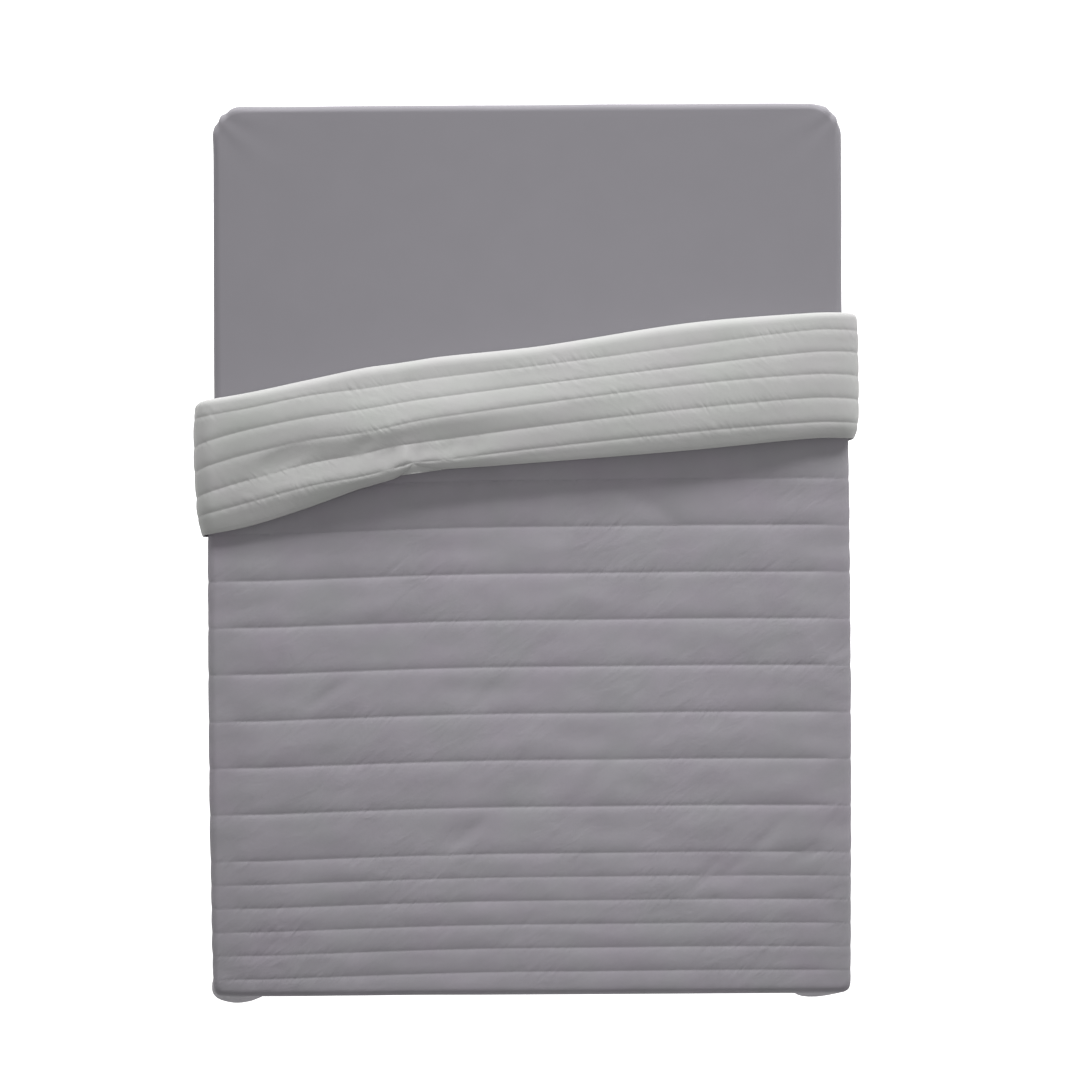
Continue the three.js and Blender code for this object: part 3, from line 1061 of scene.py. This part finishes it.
@dataclass
class QuiltHalf:
    """One cloth of the spread with its half of the filling, as a closed thin body.

    Its outer surface is a fine grid with the channels, unevenness and creases. Its inner surface, hidden
    against the other half, is a grid on some of the same rows and columns, joined at the hems. It has all of
    them where the cloth bends: round the bed's edge, in the side drops, at the flutes and at the crest.

    Attributes:
        shape: the spread's shape.
        side: which cloth it is.
        name: the piece's name.
        node: the node that it stands for.
        slot: its material slot; not used.
        creases: soft creases on its visible top.
        gap: space between the two halves.
        foot_bend: length of the cut, from the foot hem, in which the cloth bends over the foot end.
        crowding: how much its rows crowd towards the seams, from 0 to 1.
        least: least thickness of the cloth.
        seam_reach: how far from a seam its gathers fade.
        crease_at_seam: share of its height that a crease keeps at a seam.
        crease_end: how far across the creases end, and how far across they are at their full height.
        column_ends: how far across the inner grid stays coarse, where the bend round the bed's edge
            starts, and where it ends.
    """

    shape: SpreadShape
    side: Side
    name: str
    node: str
    slot: str
    creases: tuple[Crease, ...]
    gap: float = 0.0003
    foot_bend: float = 0.400
    crowding: float = 0.75
    least: float = 0.0006
    seam_reach: float = 0.013
    crease_at_seam: float = 0.35
    crease_end: tuple[float, float] = (0.680, 0.620)
    column_ends: tuple[float, float, float] = (0.490, 0.660, 0.710)

    def rows(self) -> tuple[Array, Array]:
        """Places of the fine rows along the cut, closer near the seams, and the ranks of the coarse rows."""
        places, coarse = [0.0], [0]
        crest_at, crest_half_run = self.shape.crest_at, self.shape.crest_half_run
        for kind, start, end in zip(self.shape.kinds, self.shape.seams[:-1], self.shape.seams[1:]):
            even = np.arange(1, kind.value + 1) / kind.value
            eased = 0.5 - 0.5 * np.cos(math.pi * even)
            share = (1 - self.crowding) * even + self.crowding * eased
            places.extend(start + (end - start) * share)
            over_crest = start < crest_at + crest_half_run and end > crest_at - crest_half_run
            every = 1 if start < self.foot_bend or over_crest else kind.value // 2
            first = coarse[-1]
            coarse.extend(range(first + every, first + kind.value + 1, every))
        return np.array(places), np.array(coarse)

    def columns(self) -> tuple[Array, Array]:
        """Places of the fine columns across the cut, and the ranks of the coarse columns.

        Each stretch has its start, its end, its number of steps, and how many of them the coarse ones take.
        """
        half = self.shape.width / 2
        flute_end, roll_start, roll_end = self.column_ends
        stretches = (
            (-half, -roll_end, 24, 1),
            (-roll_end, -roll_start, 20, 1),
            (-roll_start, -flute_end, 14, 1),
            (-flute_end, flute_end, 72, 8),
            (flute_end, roll_start, 14, 1),
            (roll_start, roll_end, 20, 1),
            (roll_end, half, 24, 1),
        )
        places, coarse = [-half], [0]
        for start, end, count, every in stretches:
            places.extend(start + (end - start) * np.arange(1, count + 1) / count)
            first = coarse[-1]
            coarse.extend(range(first + every, first + count + 1, every))
        return np.array(places), np.array(coarse)

    def relief(self, u: Array, v: Array, middle: Array) -> Array:
        """Unevenness of the outer surface beyond its channels.

        It is slow hills and smaller ones, both faded out at the seams, and the creases. Creases of the face
        lie before the crest, and those of the reverse behind it.

        Args:
            u: places across the cut.
            v: places along it.
            middle: the middle surface there.

        Returns:
            Heights in metres.
        """
        crown = self.shape.crown(v)
        number, share = self.shape.channel_share(v)
        loft = self.shape.lofts - self.shape.seam_half
        full = loft[number] / loft.max()
        hills = sum(hill.at(u, v) for hill in CLOTH_HILLS)
        inward = np.sin(math.pi * share) ** 2 * self.shape.side_hem(u)
        here = v < self.shape.crest_at if self.side is Side.FACE else v > self.shape.crest_at
        inside = smoothstep(*self.crease_end, np.abs(u)) * here
        folds = sum((crease.at(middle[:, 0], middle[:, 1]) for crease in self.creases), np.zeros_like(u))
        held = self.crease_at_seam + (1 - self.crease_at_seam) * crown
        return hills * inward * full**2 + folds * inside * held

    def build(self) -> bpy.types.Object:
        """Makes the closed body, with its cut map and its nearness to a seam as an attribute."""
        sign = self.side.value
        row_places, coarse_rows = self.rows()
        column_places, coarse_columns = self.columns()
        v, u = (part.ravel() for part in np.meshgrid(row_places, column_places, indexing="ij"))
        middle, normal = self.shape.middle(u, v), self.shape.normal(u, v)
        inner = middle + normal * (sign * self.gap / 2)
        thick = self.shape.half_thickness(u, v) + self.relief(u, v, middle)
        outer = inner + normal * (sign * np.maximum(thick, self.least))[:, None]
        rows, columns = len(row_places), len(column_places)
        chosen = (coarse_rows[:, None] * columns + coarse_columns[None, :]).ravel()
        points = np.concatenate([outer, inner[chosen]])
        cut = np.stack([u, v], axis=1)
        cut = np.concatenate([cut, cut[chosen]])
        piece = make_object(self.name, points, self.faces(rows, columns, coarse_rows, coarse_columns), cut)
        number, share = self.shape.channel_share(cut[:, 1])
        width = self.shape.seams[number + 1] - self.shape.seams[number]
        distance = np.minimum(share, 1 - share) * width
        near = np.exp(-((distance / self.seam_reach) ** 2))
        attribute = piece.data.attributes.new("near_seam", "FLOAT", "POINT")
        attribute.data.foreach_set("value", near.astype(np.float32))
        return piece

    def faces(self, rows: int, columns: int, coarse_rows: Array, coarse_columns: Array) -> list[Array]:
        """Faces of the outer grid, the inner grid and the four hem edges, all facing out.

        Args:
            rows: number of fine rows.
            columns: number of fine columns.
            coarse_rows: ranks of the coarse rows.
            coarse_columns: ranks of the coarse columns.

        Returns:
            Arrays of quads and triangles.
        """
        fine = np.arange(rows * columns).reshape(rows, columns)
        few = rows * columns + np.arange(len(coarse_rows) * len(coarse_columns))
        few = few.reshape(len(coarse_rows), len(coarse_columns))
        outer = grid_quads(rows, columns)
        inner = grid_quads(*few.shape)[:, ::-1] + rows * columns
        edges = (
            bridge(fine[0], few[0], coarse_columns)[:, ::-1],
            bridge(fine[-1], few[-1], coarse_columns),
            bridge(fine[:, 0], few[:, 0], coarse_rows),
            bridge(fine[:, -1], few[:, -1], coarse_rows)[:, ::-1],
        )
        blocks = [outer, inner, *edges]
        return blocks if self.side is Side.FACE else [block[:, ::-1] for block in blocks]

    def dress(self, material: bpy.types.Material) -> bpy.types.Object:
        """Builds the cloth, gives it its finish, hides the node that it stands for and attaches it to the
        body.

        Args:
            material: its cloth finish.

        Returns:
            The finished piece.
        """
        piece = self.build()
        piece.data.materials.append(material)
        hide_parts(self.node)
        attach(piece, BODY)
        return piece


@dataclass
class Stitching:
    """The thread of one cloth: a small bead for every stitch of each seam and of the hems.

    Attributes:
        shape: the spread's shape.
        side: which cloth it lies on.
        name: the piece's name.
        slot: its material slot.
        pitch: from one stitch to the next.
        length: of a stitch.
        width: of the thread.
        height: thickness of the thread.
        risen: share of that thickness by which its middle lies over the cloth.
        side_hem: from the cloth's edge to the stitches of its hem.
        gap: space between the two halves.
    """

    shape: SpreadShape
    side: Side
    name: str
    slot: str
    pitch: float = 0.0040
    length: float = 0.0030
    width: float = 0.0009
    height: float = 0.0005
    risen: float = 0.2
    side_hem: float = 0.008
    gap: float = 0.0003

    def places(self) -> tuple[Array, Array, Array]:
        """Each stitch's u and v, and 1 where its seam runs along the cloth, as at the side hems."""
        half = self.shape.width / 2 - self.side_hem
        across = np.arange(-half, half, self.pitch)
        along = np.arange(self.side_hem, self.shape.length - self.side_hem, self.pitch)
        ends = [self.side_hem, self.shape.length - self.side_hem]
        seams = np.concatenate([self.shape.seams[1:-1], ends])
        sides = np.repeat([-half, half], along.size)
        u = np.concatenate([np.tile(across, seams.size), sides])
        v = np.concatenate([np.repeat(seams, across.size), along, along])
        lengthwise = np.concatenate([np.zeros(seams.size * across.size), np.ones(2 * along.size)])
        return u, v, lengthwise

    def build(self) -> bpy.types.Object:
        """Makes one joined mesh; each stitch is an eight-sided bead drawn out along its seam."""
        u, v, lengthwise = self.places()
        normal = self.shape.normal(u, v) * self.side.value
        along_u, along_v = self.shape.tangents(u, v, step=0.001)
        run = unit(np.where(lengthwise[:, None] > 0, along_v, along_u))
        arms = np.stack([run, np.cross(normal, run), normal], axis=1)
        arms = arms * (np.array([self.length, self.width, self.height]) / 2)[:, None]
        lift = self.shape.half_thickness(u, v) + self.gap / 2 + self.height * self.risen
        centre = self.shape.middle(u, v) + normal * lift[:, None]
        corners = centre[:, None] + np.stack([arms, -arms], axis=2).reshape(-1, 6, 3)
        upper = [[0, 2, 4], [2, 1, 4], [1, 3, 4], [3, 0, 4]]
        lower = [[2, 0, 5], [1, 2, 5], [3, 1, 5], [0, 3, 5]]
        bead = np.array(upper + lower)
        faces = (bead[None, :, :] + 6 * np.arange(u.size)[:, None, None]).reshape(-1, 3)
        cut = np.repeat(np.stack([u, v], axis=1), 6, axis=0)
        return make_object(self.name, corners.reshape(-1, 3), [faces], cut)

    def dress(self, material: bpy.types.Material) -> bpy.types.Object:
        """Builds the thread and gives it its finish."""
        piece = self.build()
        piece.data.materials.append(material)
        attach(piece, BODY)
        return piece


# The bed


@dataclass(frozen=True)
class RoundedBlock:
    """A block with a rounded plan and rounded top and bottom edges.

    Its surface is a grid: places along its outline by steps of its profile. The profile runs from the middle
    line of the top, out, round the top edge, down the side, round the bottom edge and back in.

    Attributes:
        half_width: half its width.
        half_length: half its length.
        corner: radius of its corners in plan.
        edge: radius of its top and bottom edges.
        low: height of its underside.
        high: height of its top.
        arc_steps: steps round each corner.
        side_step: about the distance between two points of a straight side.
    """

    half_width: float
    half_length: float
    corner: float
    edge: float
    low: float
    high: float
    arc_steps: int = 20
    side_step: float = 0.012

    def outline(self) -> tuple[Array, Array, Array]:
        """Points of the outline, outward normals, and the distance along it, anticlockwise."""
        inner = np.array([self.half_width - self.corner, self.half_length - self.corner])
        turns = ((1, 1), (-1, 1), (-1, -1), (1, -1))
        angles, centres = [], []
        for number, turn in enumerate(turns):
            start = number * math.pi / 2
            arc = start + np.linspace(0, math.pi / 2, self.arc_steps + 1)
            run = 2 * inner[1 if number % 2 else 0]
            count = max(int(run / self.side_step), 2)
            here = inner * np.array(turn)
            there = inner * np.array(turns[(number + 1) % 4])
            share = np.arange(1, count)[:, None] / count
            angles.extend([arc, np.full(count - 1, arc[-1])])
            centres.extend([np.tile(here, (arc.size, 1)), here + (there - here) * share])
        angle, centre = np.concatenate(angles), np.concatenate(centres)
        normal = np.stack([np.cos(angle), np.sin(angle)], axis=1)
        points = centre + normal * self.corner
        gaps = np.linalg.norm(np.roll(points, -1, axis=0) - points, axis=1)
        return points, normal, np.concatenate([[0.0], np.cumsum(gaps)[:-1]])

    def profile(self, cap_steps: int, edge_steps: int, wall_steps: int) -> tuple[Array, Array, Array]:
        """Rows of the surface: share out from the middle line, inset from the outline, and height."""
        cap = np.linspace(0, 1, cap_steps + 1)
        turn = np.linspace(0, math.pi / 2, edge_steps + 1)[1:]
        wall = np.linspace(self.high - self.edge, self.low + self.edge, wall_steps + 1)[1:]
        share = np.concatenate([cap, np.ones(edge_steps + wall_steps + edge_steps), cap[::-1][1:]])
        closing, opening = 1 - np.sin(turn), 1 - np.cos(turn)
        rim, level = np.ones(cap.size), np.zeros(cap.size)
        inset = self.edge * np.concatenate([rim, closing, np.zeros(wall_steps), opening, rim[1:]])
        upper = self.high - self.edge * np.concatenate([level, opening])
        lower = self.low + self.edge * np.concatenate([closing, level[1:]])
        height = np.concatenate([upper, wall, lower])
        return share, inset, height

    def surface(
        self, cap_steps: int = 40, edge_steps: int = 10, wall_steps: int = 16
    ) -> tuple[Array, Array, Array, tuple[int, int]]:
        """The whole surface as rows round the block.

        A row at share 1 is the outline moved in by its inset. A row of the cap is part of the way from the
        middle line, the set of points furthest from the outline, to the row at share 1.

        Args:
            cap_steps: rows of the top and of the bottom.
            edge_steps: rows of each rounded edge.
            wall_steps: rows of the side.

        Returns:
            Points, outward directions, places on the cut, and the numbers of rows and columns.
        """
        points, normal, distance = self.outline()
        share, inset, height = self.profile(cap_steps, edge_steps, wall_steps)
        spine = self.half_length - self.half_width
        middle = np.stack([np.zeros(len(points)), np.clip(points[:, 1], -spine, spine)], axis=1)
        rim = points[None] - normal[None] * inset[:, None, None]
        plan = middle[None] + (rim - middle[None]) * share[:, None, None]
        places = raised(plan, height)
        upright = inset / self.edge
        outward = np.sqrt(np.maximum(1 - upright**2, 0))
        above = np.where(height > (self.low + self.high) / 2, 1, -1)
        out = raised(normal[None] * outward[:, None, None], upright * above)
        walk = np.concatenate([[0.0], np.cumsum(np.hypot(np.diff(inset), np.diff(height)))])
        on_cap = share[:, None] < 1
        cut_x = np.where(on_cap, plan[..., 0], distance)
        cut_y = np.where(on_cap, plan[..., 1], walk[:, None])
        cut = np.stack([cut_x, cut_y], axis=2)
        return places.reshape(-1, 3), out.reshape(-1, 3), cut.reshape(-1, 2), plan.shape[:2]


@dataclass
class FittedMattress:
    """The mattress in its fitted sheet: corner seams, tension folds and the edge cord that shows through.

    Attributes:
        bed: the bed's sizes.
        edge: radius of its top and bottom edges.
        fold_height: height of the tension folds.
        fold_count: folds that a whole turn round a corner would have.
        fold_reach: how far from the corner they fade.
        fold_side: how far outside the mattress's side the middle of their fan lies.
        cord_height: how far the edge cord stands out.
        cord_place: from the mattress's top or underside to the cord.
        seam_height: how far a corner's seam stands out.
        seam_run: how far from the corner in plan the seam shows.
        ridge: half width of the cord and the seam.
        inset: how far the sheet lies inside the block.
        top_share: share of the hills and folds on the flat top.
        flat: depth of the top or the underside that counts as flat.
    """

    bed: BedSizes
    edge: float = 0.020
    fold_height: float = 0.0016
    fold_count: float = 13.0
    fold_reach: float = 0.140
    fold_side: float = 0.020
    cord_height: float = 0.0012
    cord_place: float = 0.032
    seam_height: float = 0.0008
    seam_run: float = 0.030
    ridge: float = 0.004
    inset: float = 0.0012
    top_share: float = 0.25
    flat: float = 0.001

    def relief(self, places: Array) -> Array:
        """How far the sheet stands out: folds that fan from each corner, slow hills, seams and edge cord.

        The folds are waves in the angle round the corner, strongest at the corner and fading by a bell. Cord
        and seam are bells across their own line.

        Args:
            places: points of the block.

        Returns:
            A distance out for each.
        """
        x, y, z = places.T
        from_side = self.bed.width / 2 - np.abs(x)
        from_end = self.bed.length / 2 - np.abs(y)
        below = self.bed.top - z
        away = np.sqrt(from_side**2 + from_end**2 + below**2)
        angle = np.arctan2(from_end + below, from_side + self.fold_side)
        fan = self.fold_height * np.sin(self.fold_count * angle + 2 * np.sign(x))
        soft = fan * np.exp(-((away / self.fold_reach) ** 2)) + SHEET_HILLS.at(x, y + z)
        soft = soft * np.where(below < self.flat, self.top_share, 1.0)
        cord_depths = (self.cord_place, self.bed.mattress - self.cord_place)
        cord = sum(np.exp(-(((below - depth) / self.ridge) ** 2)) for depth in cord_depths)
        seam = np.exp(-(((from_side - from_end) / self.ridge) ** 2))
        seam = seam * (np.minimum(from_side, from_end) < self.seam_run)
        return soft + self.cord_height * cord + self.seam_height * seam - self.inset

    def dress(self, material: bpy.types.Material) -> bpy.types.Object:
        """Builds the mattress and gives it its finish."""
        low = self.bed.foot + self.bed.base + self.bed.gap
        block = RoundedBlock(
            self.bed.width / 2, self.bed.length / 2, self.bed.corner, self.edge, low, self.bed.top
        )
        places, out, cut, (rows, columns) = block.surface()
        stands = np.where(places[:, 2] < low + self.flat, 0.0, self.relief(places))
        points = places + out * stands[:, None]
        piece = make_object("fitted_mattress", points, [grid_quads(rows, columns, around=True)], cut)
        merge_doubles(piece)
        piece.data.materials.append(material)
        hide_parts("mattress")
        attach(piece, BODY)
        return piece


@dataclass
class UpholsteredBase:
    """The bed's base: a padded cover with a corded seam round its top and bottom edges.

    Attributes:
        bed: the bed's sizes.
        edge: radius of its top and bottom edges.
        edge_inset: how far the cover lies inside the block near those edges.
        wall_margin: from the top or the underside to where the padded wall starts.
        cord_radius: radius of the cords.
        cord_inset: how far a cord's middle lies inside the wall.
        cord_sides: number of sides of a cord.
    """

    bed: BedSizes
    edge: float = 0.012
    edge_inset: float = 0.0006
    wall_margin: float = 0.020
    cord_radius: float = 0.0032
    cord_inset: float = 0.0020
    cord_sides: int = 10

    def block(self) -> RoundedBlock:
        """The rounded block that the cover fits."""
        low = self.bed.foot + self.bed.gap
        high = self.bed.foot + self.bed.base
        return RoundedBlock(self.bed.width / 2, self.bed.length / 2, self.bed.corner, self.edge, low, high)

    def cover(self) -> bpy.types.Object:
        """The cover, with slow hills of its padding on the wall; its top and underside stay flat.

        The hills' first coordinate is the angle round the bed, in radians.
        """
        block = self.block()
        places, out, cut, (rows, columns) = block.surface(cap_steps=6, edge_steps=6, wall_steps=24)
        x, y, z = places.T
        hills = PADDING_HILLS.at(np.arctan2(y, x), z) - PADDING_HILLS.height
        from_end = np.minimum(z - block.low, block.high - z)
        stages = [from_end <= MERGE, from_end > self.wall_margin]
        stands = np.select(stages, [np.zeros_like(z), hills], -self.edge_inset)
        points = places + out * stands[:, None]
        piece = make_object("base_cover", points, [grid_quads(rows, columns, around=True)], cut)
        merge_doubles(piece)
        return piece

    def cords(self) -> bpy.types.Object:
        """The two corded seams: a small circle carried round the outline, near each edge of the wall."""
        block = self.block()
        points, normal, distance = block.outline()
        angle = np.linspace(0, 2 * math.pi, self.cord_sides, endpoint=False)
        rings, cuts, faces = [], [], []
        for number, height in enumerate((block.low + self.edge, block.high - self.edge)):
            out = np.cos(angle) * self.cord_radius - self.cord_inset
            plan = points[None] + normal[None] * out[:, None, None]
            ring = raised(plan, height + np.sin(angle) * self.cord_radius)
            ring = np.concatenate([ring, ring[:1]])
            rings.append(ring.reshape(-1, 3))
            around = np.arange(len(ring)) * self.cord_radius
            cuts.append(np.stack(np.meshgrid(distance, around, indexing="xy"), axis=2).reshape(-1, 2))
            faces.append(grid_quads(*ring.shape[:2], around=True) + number * ring.shape[0] * ring.shape[1])
        piece = make_object("base_cords", np.concatenate(rings), faces, np.concatenate(cuts))
        merge_doubles(piece)
        return piece

    def dress(self, material: bpy.types.Material) -> list[bpy.types.Object]:
        """Builds the cover and its cords and gives them their finish."""
        cover, cords = self.cover(), self.cords()
        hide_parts("base")
        for piece in (cover, cords):
            piece.data.materials.append(material)
            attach(piece, BODY)
        return [cover, cords]


@dataclass
class Foot:
    """A moulded foot: a turned profile with a flange at its top and a worn lower edge.

    Attributes:
        node: the node that it stands for.
        lower_rings: for each ring of the worn lower edge, how far inside the flange's rim it lies, and how
            far above the underside.
        upper_rings: for each ring from the shank's top over the flange, how far inside the rim it lies, and
            how far below the top.
        segments: number of points round it.
    """

    node: str
    lower_rings: tuple[tuple[float, float], ...] = ((0.0070, 0.0), (0.0048, 0.0008), (0.0040, 0.0030))
    upper_rings: tuple[tuple[float, float], ...] = (
        (0.0060, 0.0070),
        (0.0050, 0.0058),
        (0.0006, 0.0050),
        (0.0, 0.0044),
        (0.0, 0.0010),
        (0.0010, 0.0),
    )
    segments: int = 40

    def dress(self, material: bpy.types.Material) -> bpy.types.Object:
        """Turns the profile round the foot's own axis, which it takes from the node it stands for."""
        low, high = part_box(self.node)
        centre = (low + high) / 2
        rim = (high.x - low.x) / 2
        lower_inset, lower_level = np.array(self.lower_rings).T
        upper_inset, upper_depth = np.array(self.upper_rings).T
        radius = np.concatenate([[0], rim - lower_inset, rim - upper_inset, [0]])
        level = np.concatenate([[low.z], low.z + lower_level, high.z - upper_depth, [high.z]])
        angle = np.linspace(0, 2 * math.pi, self.segments, endpoint=False)
        around = np.stack([np.cos(angle), np.sin(angle)], axis=1)
        plan = np.array(centre[:2]) + radius[:, None, None] * around[None]
        points = raised(plan, level).reshape(-1, 3)
        faces = grid_quads(radius.size, angle.size, around=True)
        piece = make_object(self.node + "_turned", points, [faces])
        merge_doubles(piece)
        piece.data.materials.append(material)
        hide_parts(self.node)
        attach(piece, BODY)
        return piece


# The studio


@dataclass
class Studio:
    """Plain pale floor, soft light from the head side and from above, and a camera straight above the bed.

    Attributes:
        bed: the bed under the spread.
        frame_width: width of the picture at the spread's top.
        camera_height: height of the camera over the spread.
        spread_lift: height of the spread's top over the mattress.
        centre: the place that the camera looks down on.
        roll: turn of the camera about its own axis.
        floor_size: width and length of the floor.
        floor_gap: how far it lies under the feet.
        sky: strength of the even light from all round.
        key_power: power of the panel at the head side.
        key_size: its width and height.
        key_place: its middle.
        key_aim: the place on the spread that it faces.
        top_power: power of the gridded softbox overhead.
        top_size: its width and length.
        top_place: its middle.
        top_spread: angle that its grid lets through, in degrees.
    """

    bed: BedSizes
    frame_width: float = 2.300
    camera_height: float = 3.900
    spread_lift: float = 0.010
    centre: tuple[float, float] = (0.023, 0.015)
    roll: float = -0.0061
    floor_size: float = 14.0
    floor_gap: float = 0.0002
    sky: float = 0.39
    key_power: float = 4000.0
    key_size: tuple[float, float] = (12.0, 3.3)
    key_place: tuple[float, float, float] = (1.8, 12.8, 4.55)
    key_aim: tuple[float, float] = (0.0, -0.1)
    top_power: float = 3.6
    top_size: float = 1.2
    top_place: tuple[float, float, float] = (0.20, -0.20, 5.2)
    top_spread: float = 40.0

    def camera(self) -> None:
        """Places the camera above the spread; its angle takes in frame_width at the spread's top."""
        data = bpy.data.cameras.new("camera")
        data.sensor_fit = "HORIZONTAL"
        data.angle = 2 * math.atan(self.frame_width / 2 / self.camera_height)
        camera = bpy.data.objects.new("camera", data)
        camera.location = (*self.centre, self.bed.top + self.spread_lift + self.camera_height)
        camera.rotation_euler = (0.0, 0.0, self.roll)
        bpy.context.scene.collection.objects.link(camera)
        bpy.context.scene.camera = camera

    def floor(self, material: bpy.types.Material) -> None:
        """Lays the floor just under the feet."""
        turns = np.array([[-1, -1], [1, -1], [1, 1], [-1, 1]])
        points = np.column_stack([turns * self.floor_size / 2, np.full(4, -self.floor_gap)])
        piece = make_object("floor", points, [np.array([[0, 1, 2, 3]])])
        piece.data.materials.append(material)

    def panel(
        self,
        name: str,
        power: float,
        size: tuple[float, float],
        place: tuple[float, float, float],
        look: Vector,
    ) -> bpy.types.Light:
        """Hangs one soft panel that faces a place.

        Args:
            name: the light's name.
            power: its power in watts.
            size: its width and height.
            place: its middle.
            look: the place that it faces.

        Returns:
            The light's data.
        """
        data = bpy.data.lights.new(name, "AREA")
        data.shape = "RECTANGLE"
        data.size, data.size_y = size
        data.energy = power
        light = bpy.data.objects.new(name, data)
        light.location = place
        light.rotation_euler = (look - light.location).to_track_quat("-Z", "Y").to_euler()
        bpy.context.scene.collection.objects.link(light)
        return data

    def build(self) -> None:
        """Sets up the whole studio."""
        scene = bpy.context.scene
        scene.view_settings.view_transform = "Standard"
        world = bpy.data.worlds.new("soft_light")
        world.use_nodes = True
        background = world.node_tree.nodes["Background"]
        background.inputs["Color"].default_value = (1.0, 1.0, 1.0, 1.0)
        background.inputs["Strength"].default_value = self.sky
        scene.world = world
        self.floor(FLOOR_PAINT.material())
        spread = Vector((*self.key_aim, self.bed.top))
        below_top = Vector((*self.top_place[:2], self.bed.top))
        self.panel("key", self.key_power, self.key_size, self.key_place, spread)
        top = self.panel("top", self.top_power, (self.top_size, self.top_size), self.top_place, below_top)
        top.spread = math.radians(self.top_spread)
        self.camera()


def main() -> None:
    """Builds the bed, the spread and the studio, in that order, and reports each piece."""
    bed = BedSizes()
    shape = SpreadShape(bed)
    grain = cloth_grain_group()
    pieces: list[bpy.types.Object] = []
    Studio(bed).build()
    plastic = FOOT_PLASTIC.material()
    base_material = BASE_CLOTH.material(grain)
    feet = [node for node in sorted(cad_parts) if node.startswith("foot_")]
    pieces.extend(Foot(node).dress(plastic) for node in feet)
    pieces.extend(UpholsteredBase(bed).dress(base_material))
    pieces.append(FittedMattress(bed).dress(SHEET_CLOTH.material(grain)))
    halves = (
        (Side.FACE, "face", FACE_CREASES, FACE_CLOTH, FACE_THREAD),
        (Side.REVERSE, "reverse", FOLD_CREASES, REVERSE_CLOTH, REVERSE_THREAD),
    )
    for side, word, creases, cloth, thread in halves:
        name, node, slot = "bedspread_" + word, "quilt_" + word, cloth.name
        pieces.append(QuiltHalf(shape, side, name, node, slot, creases).dress(cloth.material(grain)))
        pieces.append(Stitching(shape, side, name + "_stitches", slot).dress(thread.material(grain)))
    for piece in pieces:
        LOG.info("%s: %d faces", piece.name, len(piece.data.polygons))


if __name__ == "__main__":
    logging.basicConfig(level=logging.INFO, format="%(name)s: %(message)s")
    main()
